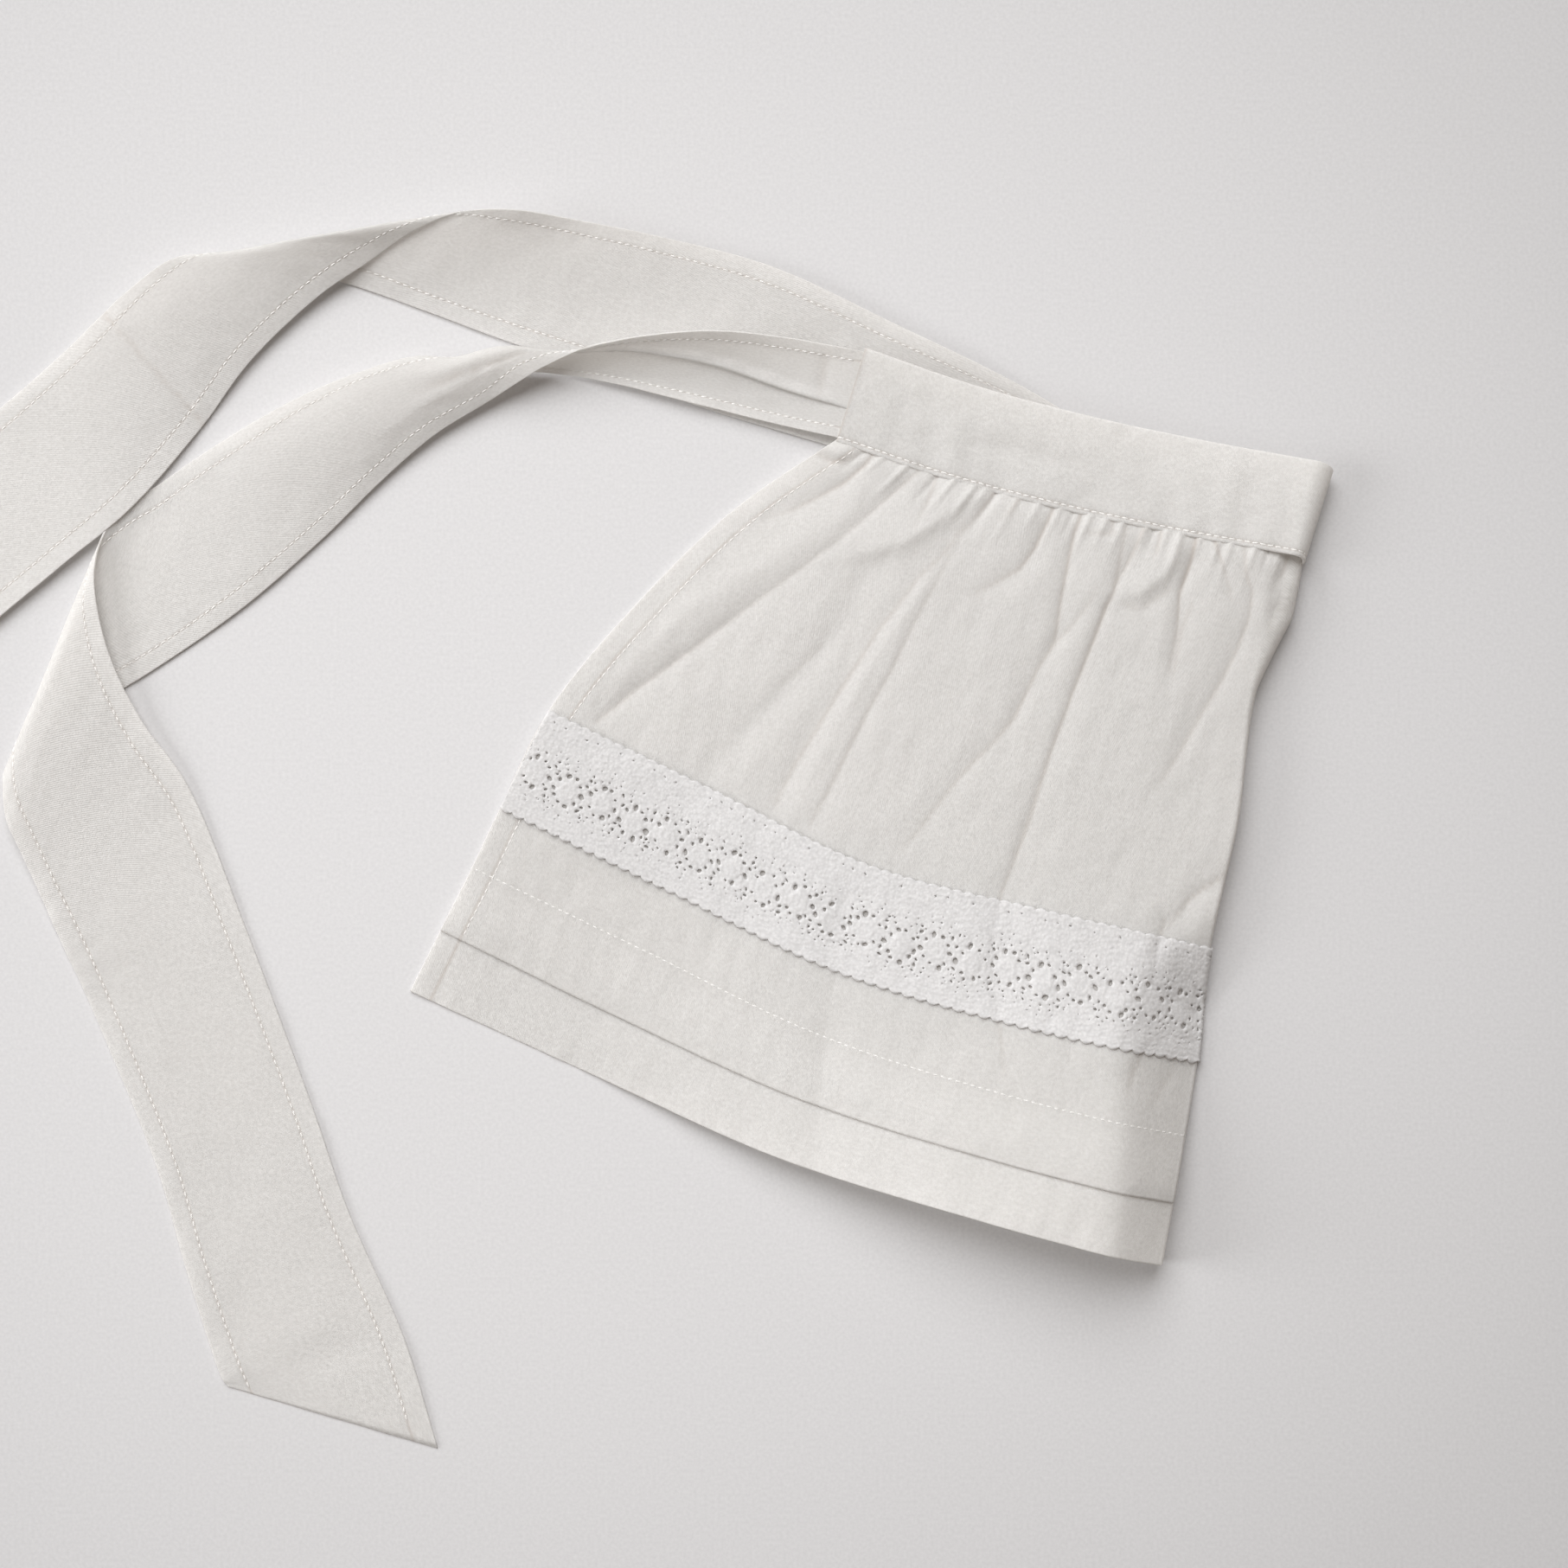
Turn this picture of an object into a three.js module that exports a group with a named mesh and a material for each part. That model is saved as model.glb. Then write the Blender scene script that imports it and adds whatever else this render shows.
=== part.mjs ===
// A child's half apron of white cotton, folded once lengthwise, right side out, and laid on a flat surface.
// Millimetres. +X runs along the folded width, +Y towards the waistband, +Z up from the surface.
import * as THREE from "three";

// Cloth walls and the clearances between sewn pieces
const SKIRT_CLOTH = 1.0;
const TIE_CLOTH = 1.2;
const BAND_CLOTH = 2.0;
const LACE_CLOTH = 1.0;
const CLEARANCE = 0.3;
const SEAM_GAP = 0.4;
const TIE_GAP = 0.7;

// Middle of the whole lay, seen from the point near the skirt's middle that the tables measure from
const LAY_CENTRE = { x: -95.9, y: -15.2 };

// Waistband
const BAND_HEIGHT = 30;
const BAND_UP_LEFT = { x: 0.3, y: 0.954 };
const BAND_UP_FOLD = { x: 0.217, y: 0.976 };
const BAND_LEAN = 4;

// Lines across the skirt, as shares of its length from waist (0) to hem (1)
const LACE_TOP = 0.545;
const LACE_FOOT = 0.718;
const LACE_RAMP = 0.02;
const TUCK_SEAM = 0.812;
const TUCK_FULL = 0.835;
const TUCK_EDGE = 0.909;
const TUCK_STEP = 0.004;
const TUCK_RISE = 1.0;

// The fold down the right edge, and the share of the front's width that is turned under
const FOLD_BULGE = 4;
const FOLD_BULGE_SHARE = 1.6;
const BACK_SHARE_WAIST = 0.45;
const BACK_SHARE_HEM = 0.53;

// Facets
const FRONT_COLUMNS = 34;
const FOLD_COLUMNS = 5;
const BACK_COLUMNS = 9;
const BAND_ROWS = 2;
const TIE_ACROSS = 6;
const TIE_ALONG = 54;

const COTTON = { color: 0xeeebe5, roughness: 0.92, metalness: 0 };
const LACE_COTTON = { color: 0xe9e8ea, roughness: 0.95, metalness: 0 };

// Turns rows of numbers into rows of named values
const table = (columns, rows) => {
  const names = columns.split(" ");
  return rows.map((row) => Object.fromEntries(names.map((name, index) => [name, row[index]])));
};

// The front of the skirt: a row for each line across it, with five points from the side hem (a) to the fold (e)
const SKIRT_LINES = table("down ax ay az bx by bz cx cy cz dx dy dz ex ey ez", [
  [0.0, 17, 111, 5.0, 52, 99, 6.0, 89, 89, 7.5, 126, 81, 8.5, 164, 74, 10.0],
  [0.18, -17, 88, 1.5, 26, 68, 6.0, 69, 50, 8.0, 112, 41, 9.5, 150, 31, 10.0],
  [0.36, -47, 59, 0.8, 1, 35, 4.5, 48, 12, 7.5, 98, 0, 9.5, 145, -10, 9.5],
  [LACE_TOP, -76, 24, 0.8, -24, -1, 2.5, 28, -26, 7.0, 83, -40, 10.0, 136, -52, 8.0],
  [LACE_FOOT, -92, -8, 0.8, -37, -35, 1.2, 18, -61, 6.5, 76, -78, 12.0, 132, -90, 5.5],
  [TUCK_SEAM, -101, -27, 0.8, -45, -54, 1.0, 12, -81, 6.0, 70, -99, 13.5, 128, -113, 5.0],
  [TUCK_EDGE, -111, -47, 0.8, -54, -75, 0.9, 5, -101, 5.5, 65, -119, 15.0, 124, -134, 5.0],
  [1.0, -121, -67, 0.6, -62, -94, 0.7, -2, -120, 5.0, 60, -138, 16.0, 120, -154, 4.5],
]);

// Gather folds: share across the front at the waist and where the fold dies out, that place's share down,
// and the fold's depth and half width there
const GATHERS = table("waist end reach depth half_waist half_end", [
  [0.18, 0.03, 0.56, 2.5, 0.04, 0.05],
  [0.28, 0.28, 0.52, 2.0, 0.05, 0.07],
  [0.34, 0.42, 0.56, 1.8, 0.04, 0.05],
  [0.52, 0.52, 0.54, 2.2, 0.05, 0.07],
  [0.65, 0.66, 0.9, 3.2, 0.05, 0.06],
  [0.77, 0.8, 0.32, 2.2, 0.04, 0.04],
  [0.89, 0.85, 0.45, 2.2, 0.04, 0.05],
]);
const GATHER_START = 0.06;
const GATHER_FADE = 0.25;

// Each tie from the waistband to its point: the edge that stays low, the edge that is carried over the half
// twist, how far the cloth bows out between them, and the share across from the low edge where it bows most
const TIE_COLUMNS = "low_x low_y low_z high_x high_y high_z bow peak";
const FRONT_TIE = table(TIE_COLUMNS, [
  [-2, 116, 3.4, 1, 143, 9.5, -1.5, 0.5],
  [-30, 123, 3.2, -24, 145, 11, -2.5, 0.5],
  [-58, 130, 2.6, -46, 143, 12.5, -3, 0.5],
  [-77, 133, 1.6, -63, 139, 13.5, -4, 0.5],
  [-97, 136, 0.8, -79, 132, 13, -6.5, 0.48],
  [-116, 138, 0.8, -99, 121, 11.5, -8.5, 0.42],
  [-136, 133, 0.8, -113, 112, 10, -9, 0.36],
  [-156, 126, 0.8, -130, 96, 8.5, -8, 0.34],
  [-175, 115, 0.8, -149, 76, 6.5, -6.5, 0.33],
  [-192, 104, 0.8, -175, 54, 3, -3.5, 0.35],
  [-202, 97, 0.8, -203, 36, 1.4, -1, 0.5],
  [-210, 92, 1.2, -233, 19, 0.8, 0, 0.5],
  [-218, 84, 2.8, -252, 4, 2.2, 0, 0.5],
  [-222, 70, 5.2, -252, 0, 3.6, 0, 0.5],
  [-221, 56, 5.6, -251, -11, 3.6, 0, 0.5],
  [-216, 38, 4.8, -246, -23, 2.6, 0, 0.5],
  [-207, 20, 3.0, -240, -37, 1.5, 0, 0.5],
  [-193, 0, 1.6, -233, -53, 0.9, 0, 0.5],
  [-174, -47, 0.6, -226, -68, 0.6, 0, 0.5],
  [-152, -106, 0.6, -203, -124, 0.6, 0, 0.5],
  [-141, -138, 0.6, -194, -155, 0.6, 0, 0.5],
  [-123, -179, 0.6, -182, -192, 0.6, 0, 0.5],
  [-112, -215, 0.6, -180, -195, 0.6, 0, 0.5],
]);
const BACK_TIE = table(TIE_COLUMNS, [
  [62, 94, 0.7, 76, 129, 2.5, 1, 0.5],
  [16, 109, 0.7, 37, 148, 4.5, 0, 0.5],
  [-24, 121, 0.7, -4, 167, 7.5, -1.5, 0.5],
  [-58, 133, 0.7, -38, 176, 10, -2.5, 0.5],
  [-89, 143, 0.7, -65, 181, 12, -3.5, 0.5],
  [-116, 153, 0.7, -88, 184, 13.5, -4, 0.5],
  [-142, 162, 0.7, -104, 183, 14, -5, 0.48],
  [-161, 168, 0.7, -118, 178, 13.5, -6, 0.45],
  [-178, 171, 0.7, -133, 167, 12.5, -7, 0.4],
  [-194, 169, 0.7, -151, 151, 11, -8, 0.36],
  [-212, 157, 0.7, -174, 129, 9.5, -7.5, 0.34],
  [-230, 141, 0.7, -195, 106, 8, -6, 0.33],
  [-248, 126, 0.7, -215, 87, 7.5, -4, 0.35],
  [-268, 110, 0.7, -235, 69, 6, -2, 0.4],
  [-296, 87, 0.6, -262, 46, 2, -0.5, 0.5],
  [-324, 61, 0.6, -282, 24, 0.6, 0, 0.5],
  [-346, 30, 0.6, -298, 1, 0.6, 0, 0.5],
  [-361, -2, 0.6, -311, -25, 0.6, 0, 0.5],
  [-367, -16, 0.6, -324, -57, 0.6, 0, 0.5],
]);

// Evenly spaced numbers, both ends included
const spread = (from, to, steps) =>
  Array.from({ length: steps + 1 }, (_, index) => THREE.MathUtils.lerp(from, to, index / steps));

const smoothCurve = (points) => new THREE.CatmullRomCurve3(points);

// The unit normal at each point of a grid, from its neighbours along the rows and the columns
function gridNormals(grid) {
  const lastRow = grid.length - 1;
  const lastColumn = grid[0].length - 1;
  return grid.map((row, r) =>
    row.map((_, c) => {
      const along = row[Math.min(c + 1, lastColumn)].clone().sub(row[Math.max(c - 1, 0)]);
      const across = grid[Math.min(r + 1, lastRow)][c].clone().sub(grid[Math.max(r - 1, 0)][c]);
      return across.cross(along).normalize();
    })
  );
}

// A closed cloth wall between two offsets of a grid along its normals
function clothWall(grid, normals, innerOffset, outerOffset) {
  const rows = grid.length;
  const columns = grid[0].length;
  const positions = [];
  for (const offset of [outerOffset, innerOffset]) {
    grid.forEach((row, r) =>
      row.forEach((point, c) => {
        positions.push(...point.clone().addScaledVector(normals[r][c], offset(r, c)).toArray());
      })
    );
  }
  const outer = (r, c) => r * columns + c;
  const inner = (r, c) => (rows + r) * columns + c;
  const faces = [];
  const quad = (a, b, c, d) => faces.push(a, b, c, a, c, d);
  for (let r = 0; r < rows - 1; r += 1) {
    for (let c = 0; c < columns - 1; c += 1) {
      quad(outer(r, c), outer(r + 1, c), outer(r + 1, c + 1), outer(r, c + 1));
      quad(inner(r, c), inner(r, c + 1), inner(r + 1, c + 1), inner(r + 1, c));
    }
    quad(outer(r + 1, 0), outer(r, 0), inner(r, 0), inner(r + 1, 0));
    quad(outer(r, columns - 1), outer(r + 1, columns - 1), inner(r + 1, columns - 1), inner(r, columns - 1));
  }
  for (let c = 0; c < columns - 1; c += 1) {
    quad(outer(0, c), outer(0, c + 1), inner(0, c + 1), inner(0, c));
    quad(outer(rows - 1, c + 1), outer(rows - 1, c), inner(rows - 1, c), inner(rows - 1, c + 1));
  }
  const geometry = new THREE.BufferGeometry();
  geometry.setAttribute("position", new THREE.Float32BufferAttribute(positions, 3));
  geometry.setIndex(faces);
  geometry.translate(-LAY_CENTRE.x, -LAY_CENTRE.y, 0);
  geometry.computeVertexNormals();
  return geometry;
}

function piece(name, geometry, finish) {
  const mesh = new THREE.Mesh(geometry, new THREE.MeshStandardMaterial(finish));
  mesh.name = name;
  return mesh;
}

// Skirt: the front with its gathers, rolled round the fold onto the part that is turned under
const stationCurves = ["a", "b", "c", "d", "e"].map((station) =>
  smoothCurve(
    SKIRT_LINES.map((line) => new THREE.Vector3(line[`${station}x`], line[`${station}y`], line[`${station}z`]))
  )
);

// Where a share down the skirt falls among the rows of its table, from 0 to 1
function lineShare(down) {
  const last = SKIRT_LINES.length - 1;
  const row = Math.min(SKIRT_LINES.findLastIndex((line) => line.down <= down), last - 1);
  const from = SKIRT_LINES[row].down;
  const to = SKIRT_LINES[row + 1].down;
  return (row + (down - from) / (to - from)) / last;
}

function gatherDepth(across, down) {
  let depth = 0;
  for (const fold of GATHERS) {
    const share = Math.min(down / fold.reach, 1);
    const centre = THREE.MathUtils.lerp(fold.waist, fold.end, share);
    const half = THREE.MathUtils.lerp(fold.half_waist, fold.half_end, share);
    const aside = Math.min(Math.abs(across - centre) / half, 1);
    const starts = THREE.MathUtils.smoothstep(down, 0, GATHER_START);
    const fades = 1 - THREE.MathUtils.smoothstep(down, fold.reach - GATHER_FADE, fold.reach);
    depth += fold.depth * starts * fades * 0.5 * (1 + Math.cos(Math.PI * aside));
  }
  return depth;
}

// The part turned under lies on the surface, lifted only where the lace runs beneath it
const liesOverLace = (down) => down >= LACE_TOP && down <= LACE_FOOT;
const backHeight = (down) => SKIRT_CLOTH / 2 + (liesOverLace(down) ? LACE_CLOTH + CLEARANCE : 0);

function skirtRow(down) {
  const share = lineShare(down);
  const line = smoothCurve(stationCurves.map((curve) => curve.getPoint(share)));
  const front = spread(0, 1, FRONT_COLUMNS).map((across) => {
    const point = line.getPoint(across);
    return point.setZ(Math.max(point.z - gatherDepth(across, down), SKIRT_CLOTH / 2));
  });
  const edge = front[FRONT_COLUMNS];
  const outward = line.getTangent(1).setZ(0).normalize();
  const under = backHeight(down);
  const middle = (edge.z + under) / 2;
  const radius = (edge.z - under) / 2;
  const bulge = Math.min(FOLD_BULGE, FOLD_BULGE_SHARE * radius);
  const turns = spread(0, Math.PI, FOLD_COLUMNS).slice(1, -1);
  const fold = turns.map((turn) => {
    const point = edge.clone().addScaledVector(outward, bulge * Math.sin(turn));
    return point.setZ(middle + radius * Math.cos(turn));
  });
  const backShare = THREE.MathUtils.lerp(BACK_SHARE_WAIST, BACK_SHARE_HEM, down);
  const back = spread(1, 1 - backShare, BACK_COLUMNS).map((across) => line.getPoint(across).setZ(under));
  return [...front, ...fold, ...back];
}

const laceRows = spread(LACE_TOP, LACE_FOOT, 3);
const skirtRows = [
  ...[0, 0.03, 0.08, 0.14, 0.21, 0.29, 0.37, 0.45],
  LACE_TOP - LACE_RAMP,
  ...laceRows,
  LACE_FOOT + LACE_RAMP,
  TUCK_SEAM,
  TUCK_FULL,
  TUCK_EDGE,
  TUCK_EDGE + TUCK_STEP,
  1,
];
const skirtGrid = skirtRows.map(skirtRow);
const skirtNormals = gridNormals(skirtGrid);

// The tuck is a ledge on the front, from its seam to its folded edge
const tuckRise = (row, column) => {
  const inTuck = skirtRows[row] >= TUCK_FULL && skirtRows[row] <= TUCK_EDGE;
  return inTuck && column <= FRONT_COLUMNS ? TUCK_RISE : 0;
};
const skirt = clothWall(
  skirtGrid,
  skirtNormals,
  () => -SKIRT_CLOTH / 2,
  (row, column) => SKIRT_CLOTH / 2 + tuckRise(row, column)
);

// Lace: a band on the skirt's outer face, round the fold and under the back part
const laceFirst = skirtRows.indexOf(LACE_TOP);
const laceGrid = skirtGrid.slice(laceFirst, laceFirst + laceRows.length);
const laceNormals = skirtNormals.slice(laceFirst, laceFirst + laceRows.length);
const laceInner = SKIRT_CLOTH / 2 + CLEARANCE;
const lace = clothWall(
  laceGrid,
  laceNormals,
  () => laceInner,
  () => laceInner + LACE_CLOTH
);

// Waistband: rises from the skirt's gathered edge, column by column
const waist = skirtGrid[0];
function bandPoint(column, share) {
  const foot = waist[column];
  const fromLeft = Math.min(column / FRONT_COLUMNS, 1);
  const upX = THREE.MathUtils.lerp(BAND_UP_LEFT.x, BAND_UP_FOLD.x, fromLeft);
  const upY = THREE.MathUtils.lerp(BAND_UP_LEFT.y, BAND_UP_FOLD.y, fromLeft);
  const rise = SEAM_GAP + BAND_HEIGHT * share;
  const lean = BAND_LEAN * (1 - fromLeft) * share;
  return new THREE.Vector3(
    foot.x + upX * rise,
    foot.y + upY * rise,
    Math.max(foot.z + lean, BAND_CLOTH / 2)
  );
}
const bandGrid = spread(1, 0, BAND_ROWS).map((share) => waist.map((_, column) => bandPoint(column, share)));
const band = clothWall(
  bandGrid,
  gridNormals(bandGrid),
  () => -BAND_CLOTH / 2,
  () => BAND_CLOTH / 2
);

// Ties: each a strip between its two edges, from just clear of a waistband end to its point
function tieGrid(bandColumn, sections) {
  const away = new THREE.Vector3(-TIE_GAP, 0, 0);
  const lowStart = bandPoint(bandColumn, 0).add(away);
  const highStart = bandPoint(bandColumn, 1).add(away);
  const low = smoothCurve([lowStart, ...sections.map((s) => new THREE.Vector3(s.low_x, s.low_y, s.low_z))]);
  const high = smoothCurve([highStart, ...sections.map((s) => new THREE.Vector3(s.high_x, s.high_y, s.high_z))]);
  const flatStart = new THREE.Vector3(0, 0.5, 0);
  const bow = smoothCurve([flatStart, ...sections.map((s) => new THREE.Vector3(s.bow, s.peak, 0))]);
  const stops = spread(0, 1, TIE_ALONG);
  return spread(0, 1, TIE_ACROSS).map((across) =>
    stops.map((stop) => {
      const lowPoint = low.getPoint(stop);
      const ruling = high.getPoint(stop).sub(lowPoint);
      const along = low.getTangent(stop).add(high.getTangent(stop));
      const { x: reach, y: peak } = bow.getPoint(stop);
      const skewed = across ** (Math.log(0.5) / Math.log(peak));
      const bulge = reach * 4 * skewed * (1 - skewed);
      const outward = ruling.clone().cross(along).normalize();
      const point = lowPoint.addScaledVector(ruling, across).addScaledVector(outward, bulge);
      return point.setZ(Math.max(point.z, TIE_CLOTH / 2));
    })
  );
}

function tieWall(bandColumn, sections) {
  const grid = tieGrid(bandColumn, sections);
  return clothWall(
    grid,
    gridNormals(grid),
    () => -TIE_CLOTH / 2,
    () => TIE_CLOTH / 2
  );
}

const apron = new THREE.Group();
apron.name = "half_apron";
apron.add(
  piece("waistband", band, COTTON),
  piece("skirt_panel", skirt, COTTON),
  piece("lace_band", lace, LACE_COTTON),
  piece("front_tie", tieWall(0, FRONT_TIE), COTTON),
  piece("back_tie", tieWall(waist.length - 1, BACK_TIE), COTTON)
);

export default apron;
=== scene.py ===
import math

import bpy
import numpy as np
from mathutils.geometry import delaunay_2d_cdt
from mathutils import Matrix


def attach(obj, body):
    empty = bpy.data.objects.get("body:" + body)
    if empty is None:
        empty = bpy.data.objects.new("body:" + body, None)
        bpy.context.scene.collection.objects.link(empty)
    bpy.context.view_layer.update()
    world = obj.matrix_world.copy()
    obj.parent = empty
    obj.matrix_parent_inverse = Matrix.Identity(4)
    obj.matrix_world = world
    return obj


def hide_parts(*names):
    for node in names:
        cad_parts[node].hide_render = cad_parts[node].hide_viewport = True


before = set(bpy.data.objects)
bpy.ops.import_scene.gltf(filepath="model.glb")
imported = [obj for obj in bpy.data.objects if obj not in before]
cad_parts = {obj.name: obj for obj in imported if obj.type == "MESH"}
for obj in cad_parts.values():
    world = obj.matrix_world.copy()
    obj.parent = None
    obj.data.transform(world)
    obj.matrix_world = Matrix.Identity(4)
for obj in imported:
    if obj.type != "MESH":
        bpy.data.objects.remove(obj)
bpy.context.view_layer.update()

MM = 0.001
MM_PER_CM = 10
LAY_CENTRE = np.array([-95.9, -15.2, 0.0])
CAMERA_HEIGHT = 1000.0
SENSOR = 36.0
PHOTO_PIXEL = 0.28
PHOTO_MIDDLE = 906.5
PHOTO_SIZE = 1813
FOLD_LEVEL = 8.0

# Half thicknesses of the cloth: one layer, and the layers of a hem
ONE_LAYER = 0.25
HEMMED = 0.3
THINNEST = 0.05
EDGE_ROUND = 0.14
LEAST_ROUND = 0.02
HEM_STEP_BEFORE = 0.4
HEM_STEP_AFTER = 0.5
FAR_FROM_HEM = 99.0
BAND_HALF = 0.5
LACE_HEIGHT = 0.75
LACE_SEAT = 0.05
LOWEST = 0.05

# Lines across the skirt, as shares of its length from waist (0) to hem (1)
LACE_TOP = 0.545
LACE_FOOT = 0.718
TUCK_SEAM = 0.812
TUCK_FULL = 0.895
TUCK_EDGE = 0.909
SKIRT_LENGTH = 228.0
SIDE_HEM = 8.0
HEM_DEPTH = 40.0
LACE_INSET = 1.3 / SKIRT_LENGTH
TUCK_LIFT = 1.1

# The waistband
BAND_HEIGHT = 30.4
BAND_OVERLAP = 0.8
BAND_UP_LEFT = np.array([0.3, 0.954])
BAND_UP_FOLD = np.array([0.217, 0.976])
BAND_BACK_SKEW = np.array([0.0, -3.0])
BAND_LEAN = 4.0
BAND_STITCH_LINE = 0.9

# The fold at the right edge, the part turned under, and the least room above it between two shares across
FOLD_REACH_DOWN = [0.0, 0.08, 0.18, 0.3, 1.0]
FOLD_REACH = [3.5, 6.5, 2.2, 1.3, 1.3]
BAND_FOLD_REACH = 6.0
BACK_SHARE_WAIST = 0.45
BACK_SHARE_HEM = 0.53
LAYER_ROOM = 0.9
LAYER_ROOM_SHARES = (0.4, 0.6)
LACE_STEP = 0.02

# Ties
TIE_WIDTH = 55.0
TIE_HEM = 7.3

# Sewing thread
STITCH_PITCH = 2.5
STITCH_LENGTH = 2.0
STITCH_HALF_WIDTH = 0.3
STITCH_PROUD = 0.16
BAND_STITCH_PROUD = 0.2
STITCH_INSET = 0.9
STITCH_GROOVE = 0.4
STITCH_GROOVE_HALF = 0.45

# Shade on the cloth, as shares of a darker colour, and the colour of light that comes through
SHADE_COLOUR = (0.56, 0.48, 0.42)
THROUGH_COLOUR = (0.97, 0.945, 0.915)
LACE_SHADE = 0.15
HOLE_SHADE = 0.18
HEM_SHADE = 0.025
STITCH_SHADE = 0.42
CREASE_SHADE = 0.34
CREASE_MOST = 0.5
CREASE_NARROW = 4.5
CREASE_LINE = 0.7
CREASE_SOFT = 0.35

# Waves that make up a random surface, and the spread of their lengths
WAVES = 14
WAVE_SPREAD = (0.7, 1.8)

rng = np.random.default_rng(seed=11)


def unit(vectors):
    lengths = np.linalg.norm(vectors, axis=-1, keepdims=True)
    return vectors / np.maximum(lengths, 1e-9)


def smoothstep(values, start, end):
    share = np.clip((values - start) / (end - start), 0, 1)
    return share * share * (3 - 2 * share)


def bell(values, width):
    return np.exp(-(values / width) ** 2)


def rounded(distance, radius):
    """The share of the full thickness at a distance from a rounded edge."""
    return np.sqrt(np.maximum(1 - (1 - np.minimum(distance / radius, 1)) ** 2, LEAST_ROUND))


def run_length(points):
    """The length along a run of points, at each of them."""
    return np.concatenate([[0], np.cumsum(np.linalg.norm(np.diff(points, axis=0), axis=1))])


def smooth_curve(points, stops):
    """Points on a smooth curve through the given ones, at stops from 0 to 1 shared evenly among the spans."""
    points = np.asarray(points, float)
    first = 2 * points[:1] - points[1:2]
    last = 2 * points[-1:] - points[-2:-1]
    padded = np.concatenate([first, points, last])
    spans = len(points) - 1
    place = np.clip(np.asarray(stops, float), 0, 1) * spans
    span = np.minimum(place.astype(int), spans - 1)
    share = (place - span)[:, None]
    p0, p1, p2, p3 = (padded[span + step] for step in range(4))
    knots = [np.maximum(np.linalg.norm(b - a, axis=1, keepdims=True), 1e-6) ** 0.5
             for a, b in ((p0, p1), (p1, p2), (p2, p3))]
    leave = ((p1 - p0) / knots[0] - (p2 - p0) / (knots[0] + knots[1])) * knots[1] + (p2 - p1)
    arrive = ((p3 - p2) / knots[2] - (p3 - p1) / (knots[1] + knots[2])) * knots[1] + (p2 - p1)
    square = share * share
    cube = square * share
    return ((2 * cube - 3 * square + 1) * p1 + (cube - 2 * square + share) * leave
            + (3 * square - 2 * cube) * p2 + (cube - square) * arrive)


def from_photo(places):
    """Photo pixels as millimetres on the lay, at the usual height of the folds."""
    places = np.asarray(places, float)
    scale = PHOTO_PIXEL * (1 - FOLD_LEVEL / CAMERA_HEIGHT)
    return np.stack([(places[:, 0] - PHOTO_MIDDLE) * scale, (PHOTO_MIDDLE - places[:, 1]) * scale], axis=1)


def beside_line(plan, places):
    """Distance of plan points from a line of photo places that runs down, east positive, and its value."""
    places = np.asarray(places, float)
    line = from_photo(places[:, :2])
    values = places[:, 2]
    best = np.full(plan.shape[:-1], np.inf)
    signed = np.zeros(plan.shape[:-1])
    value = np.zeros(plan.shape[:-1])
    for start, end, value_start, value_end in zip(line[:-1], line[1:], values[:-1], values[1:]):
        along = end - start
        share = np.clip(((plan - start) @ along) / np.hypot(*along) ** 2, 0, 1)
        away = plan - (start + share[..., None] * along)
        distance = np.hypot(away[..., 0], away[..., 1])
        side = np.where(along[0] * away[..., 1] - along[1] * away[..., 0] >= 0, 1.0, -1.0)
        nearer = distance < best
        best = np.where(nearer, distance, best)
        signed = np.where(nearer, side * distance, signed)
        value = np.where(nearer, value_start + share * (value_end - value_start), value)
    return signed, value


def fold_height(plan, folds):
    """The rise of the cloth from ridges and valleys, each with its own width on either side."""
    rise = np.zeros(plan.shape[:-1])
    for west, east, power, places in folds:
        signed, value = beside_line(plan, places)
        reach = np.where(signed >= 0, east, west)
        rise += value * np.exp(-(np.hypot(signed, CREASE_SOFT) / reach) ** power)
    return rise


def crease_shade(plan, folds):
    """A fine line of shade along the bottom of each narrow valley, deeper where the valley is."""
    shade = np.zeros(plan.shape[:-1])
    for west, east, _, places in folds:
        if min(west, east) < CREASE_NARROW:
            signed, value = beside_line(plan, places)
            shade += CREASE_SHADE * np.maximum(-value, 0) * bell(signed, CREASE_LINE)
    return np.minimum(shade, CREASE_MOST)


def grid_normals(grid):
    return unit(np.cross(np.gradient(grid, axis=0), np.gradient(grid, axis=1)))


def make_mesh(name, points, faces, flat, material, **point_values):
    """A smooth mesh from lay millimetres; flat is each point's place on the flat cloth."""
    mesh = bpy.data.meshes.new(name)
    mesh.from_pydata(((points - LAY_CENTRE) * MM).tolist(), [], faces)
    mesh.polygons.foreach_set("use_smooth", np.ones(len(mesh.polygons), bool))
    layer = mesh.uv_layers.new(name="flat_cloth")
    corner = np.empty(len(mesh.loops), np.int32)
    mesh.loops.foreach_get("vertex_index", corner)
    layer.data.foreach_set("uv", (flat[corner] / MM_PER_CM).astype(np.float32).ravel())
    for value_name, values in point_values.items():
        mesh.attributes.new(value_name, "FLOAT", "POINT").data.foreach_set("value", values.astype(np.float32))
    mesh.materials.append(material)
    piece = bpy.data.objects.new(name, mesh)
    bpy.context.scene.collection.objects.link(piece)
    return piece


def quads(a, b, c, d):
    return np.stack([a.ravel(), b.ravel(), c.ravel(), d.ravel()], axis=1)


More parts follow.
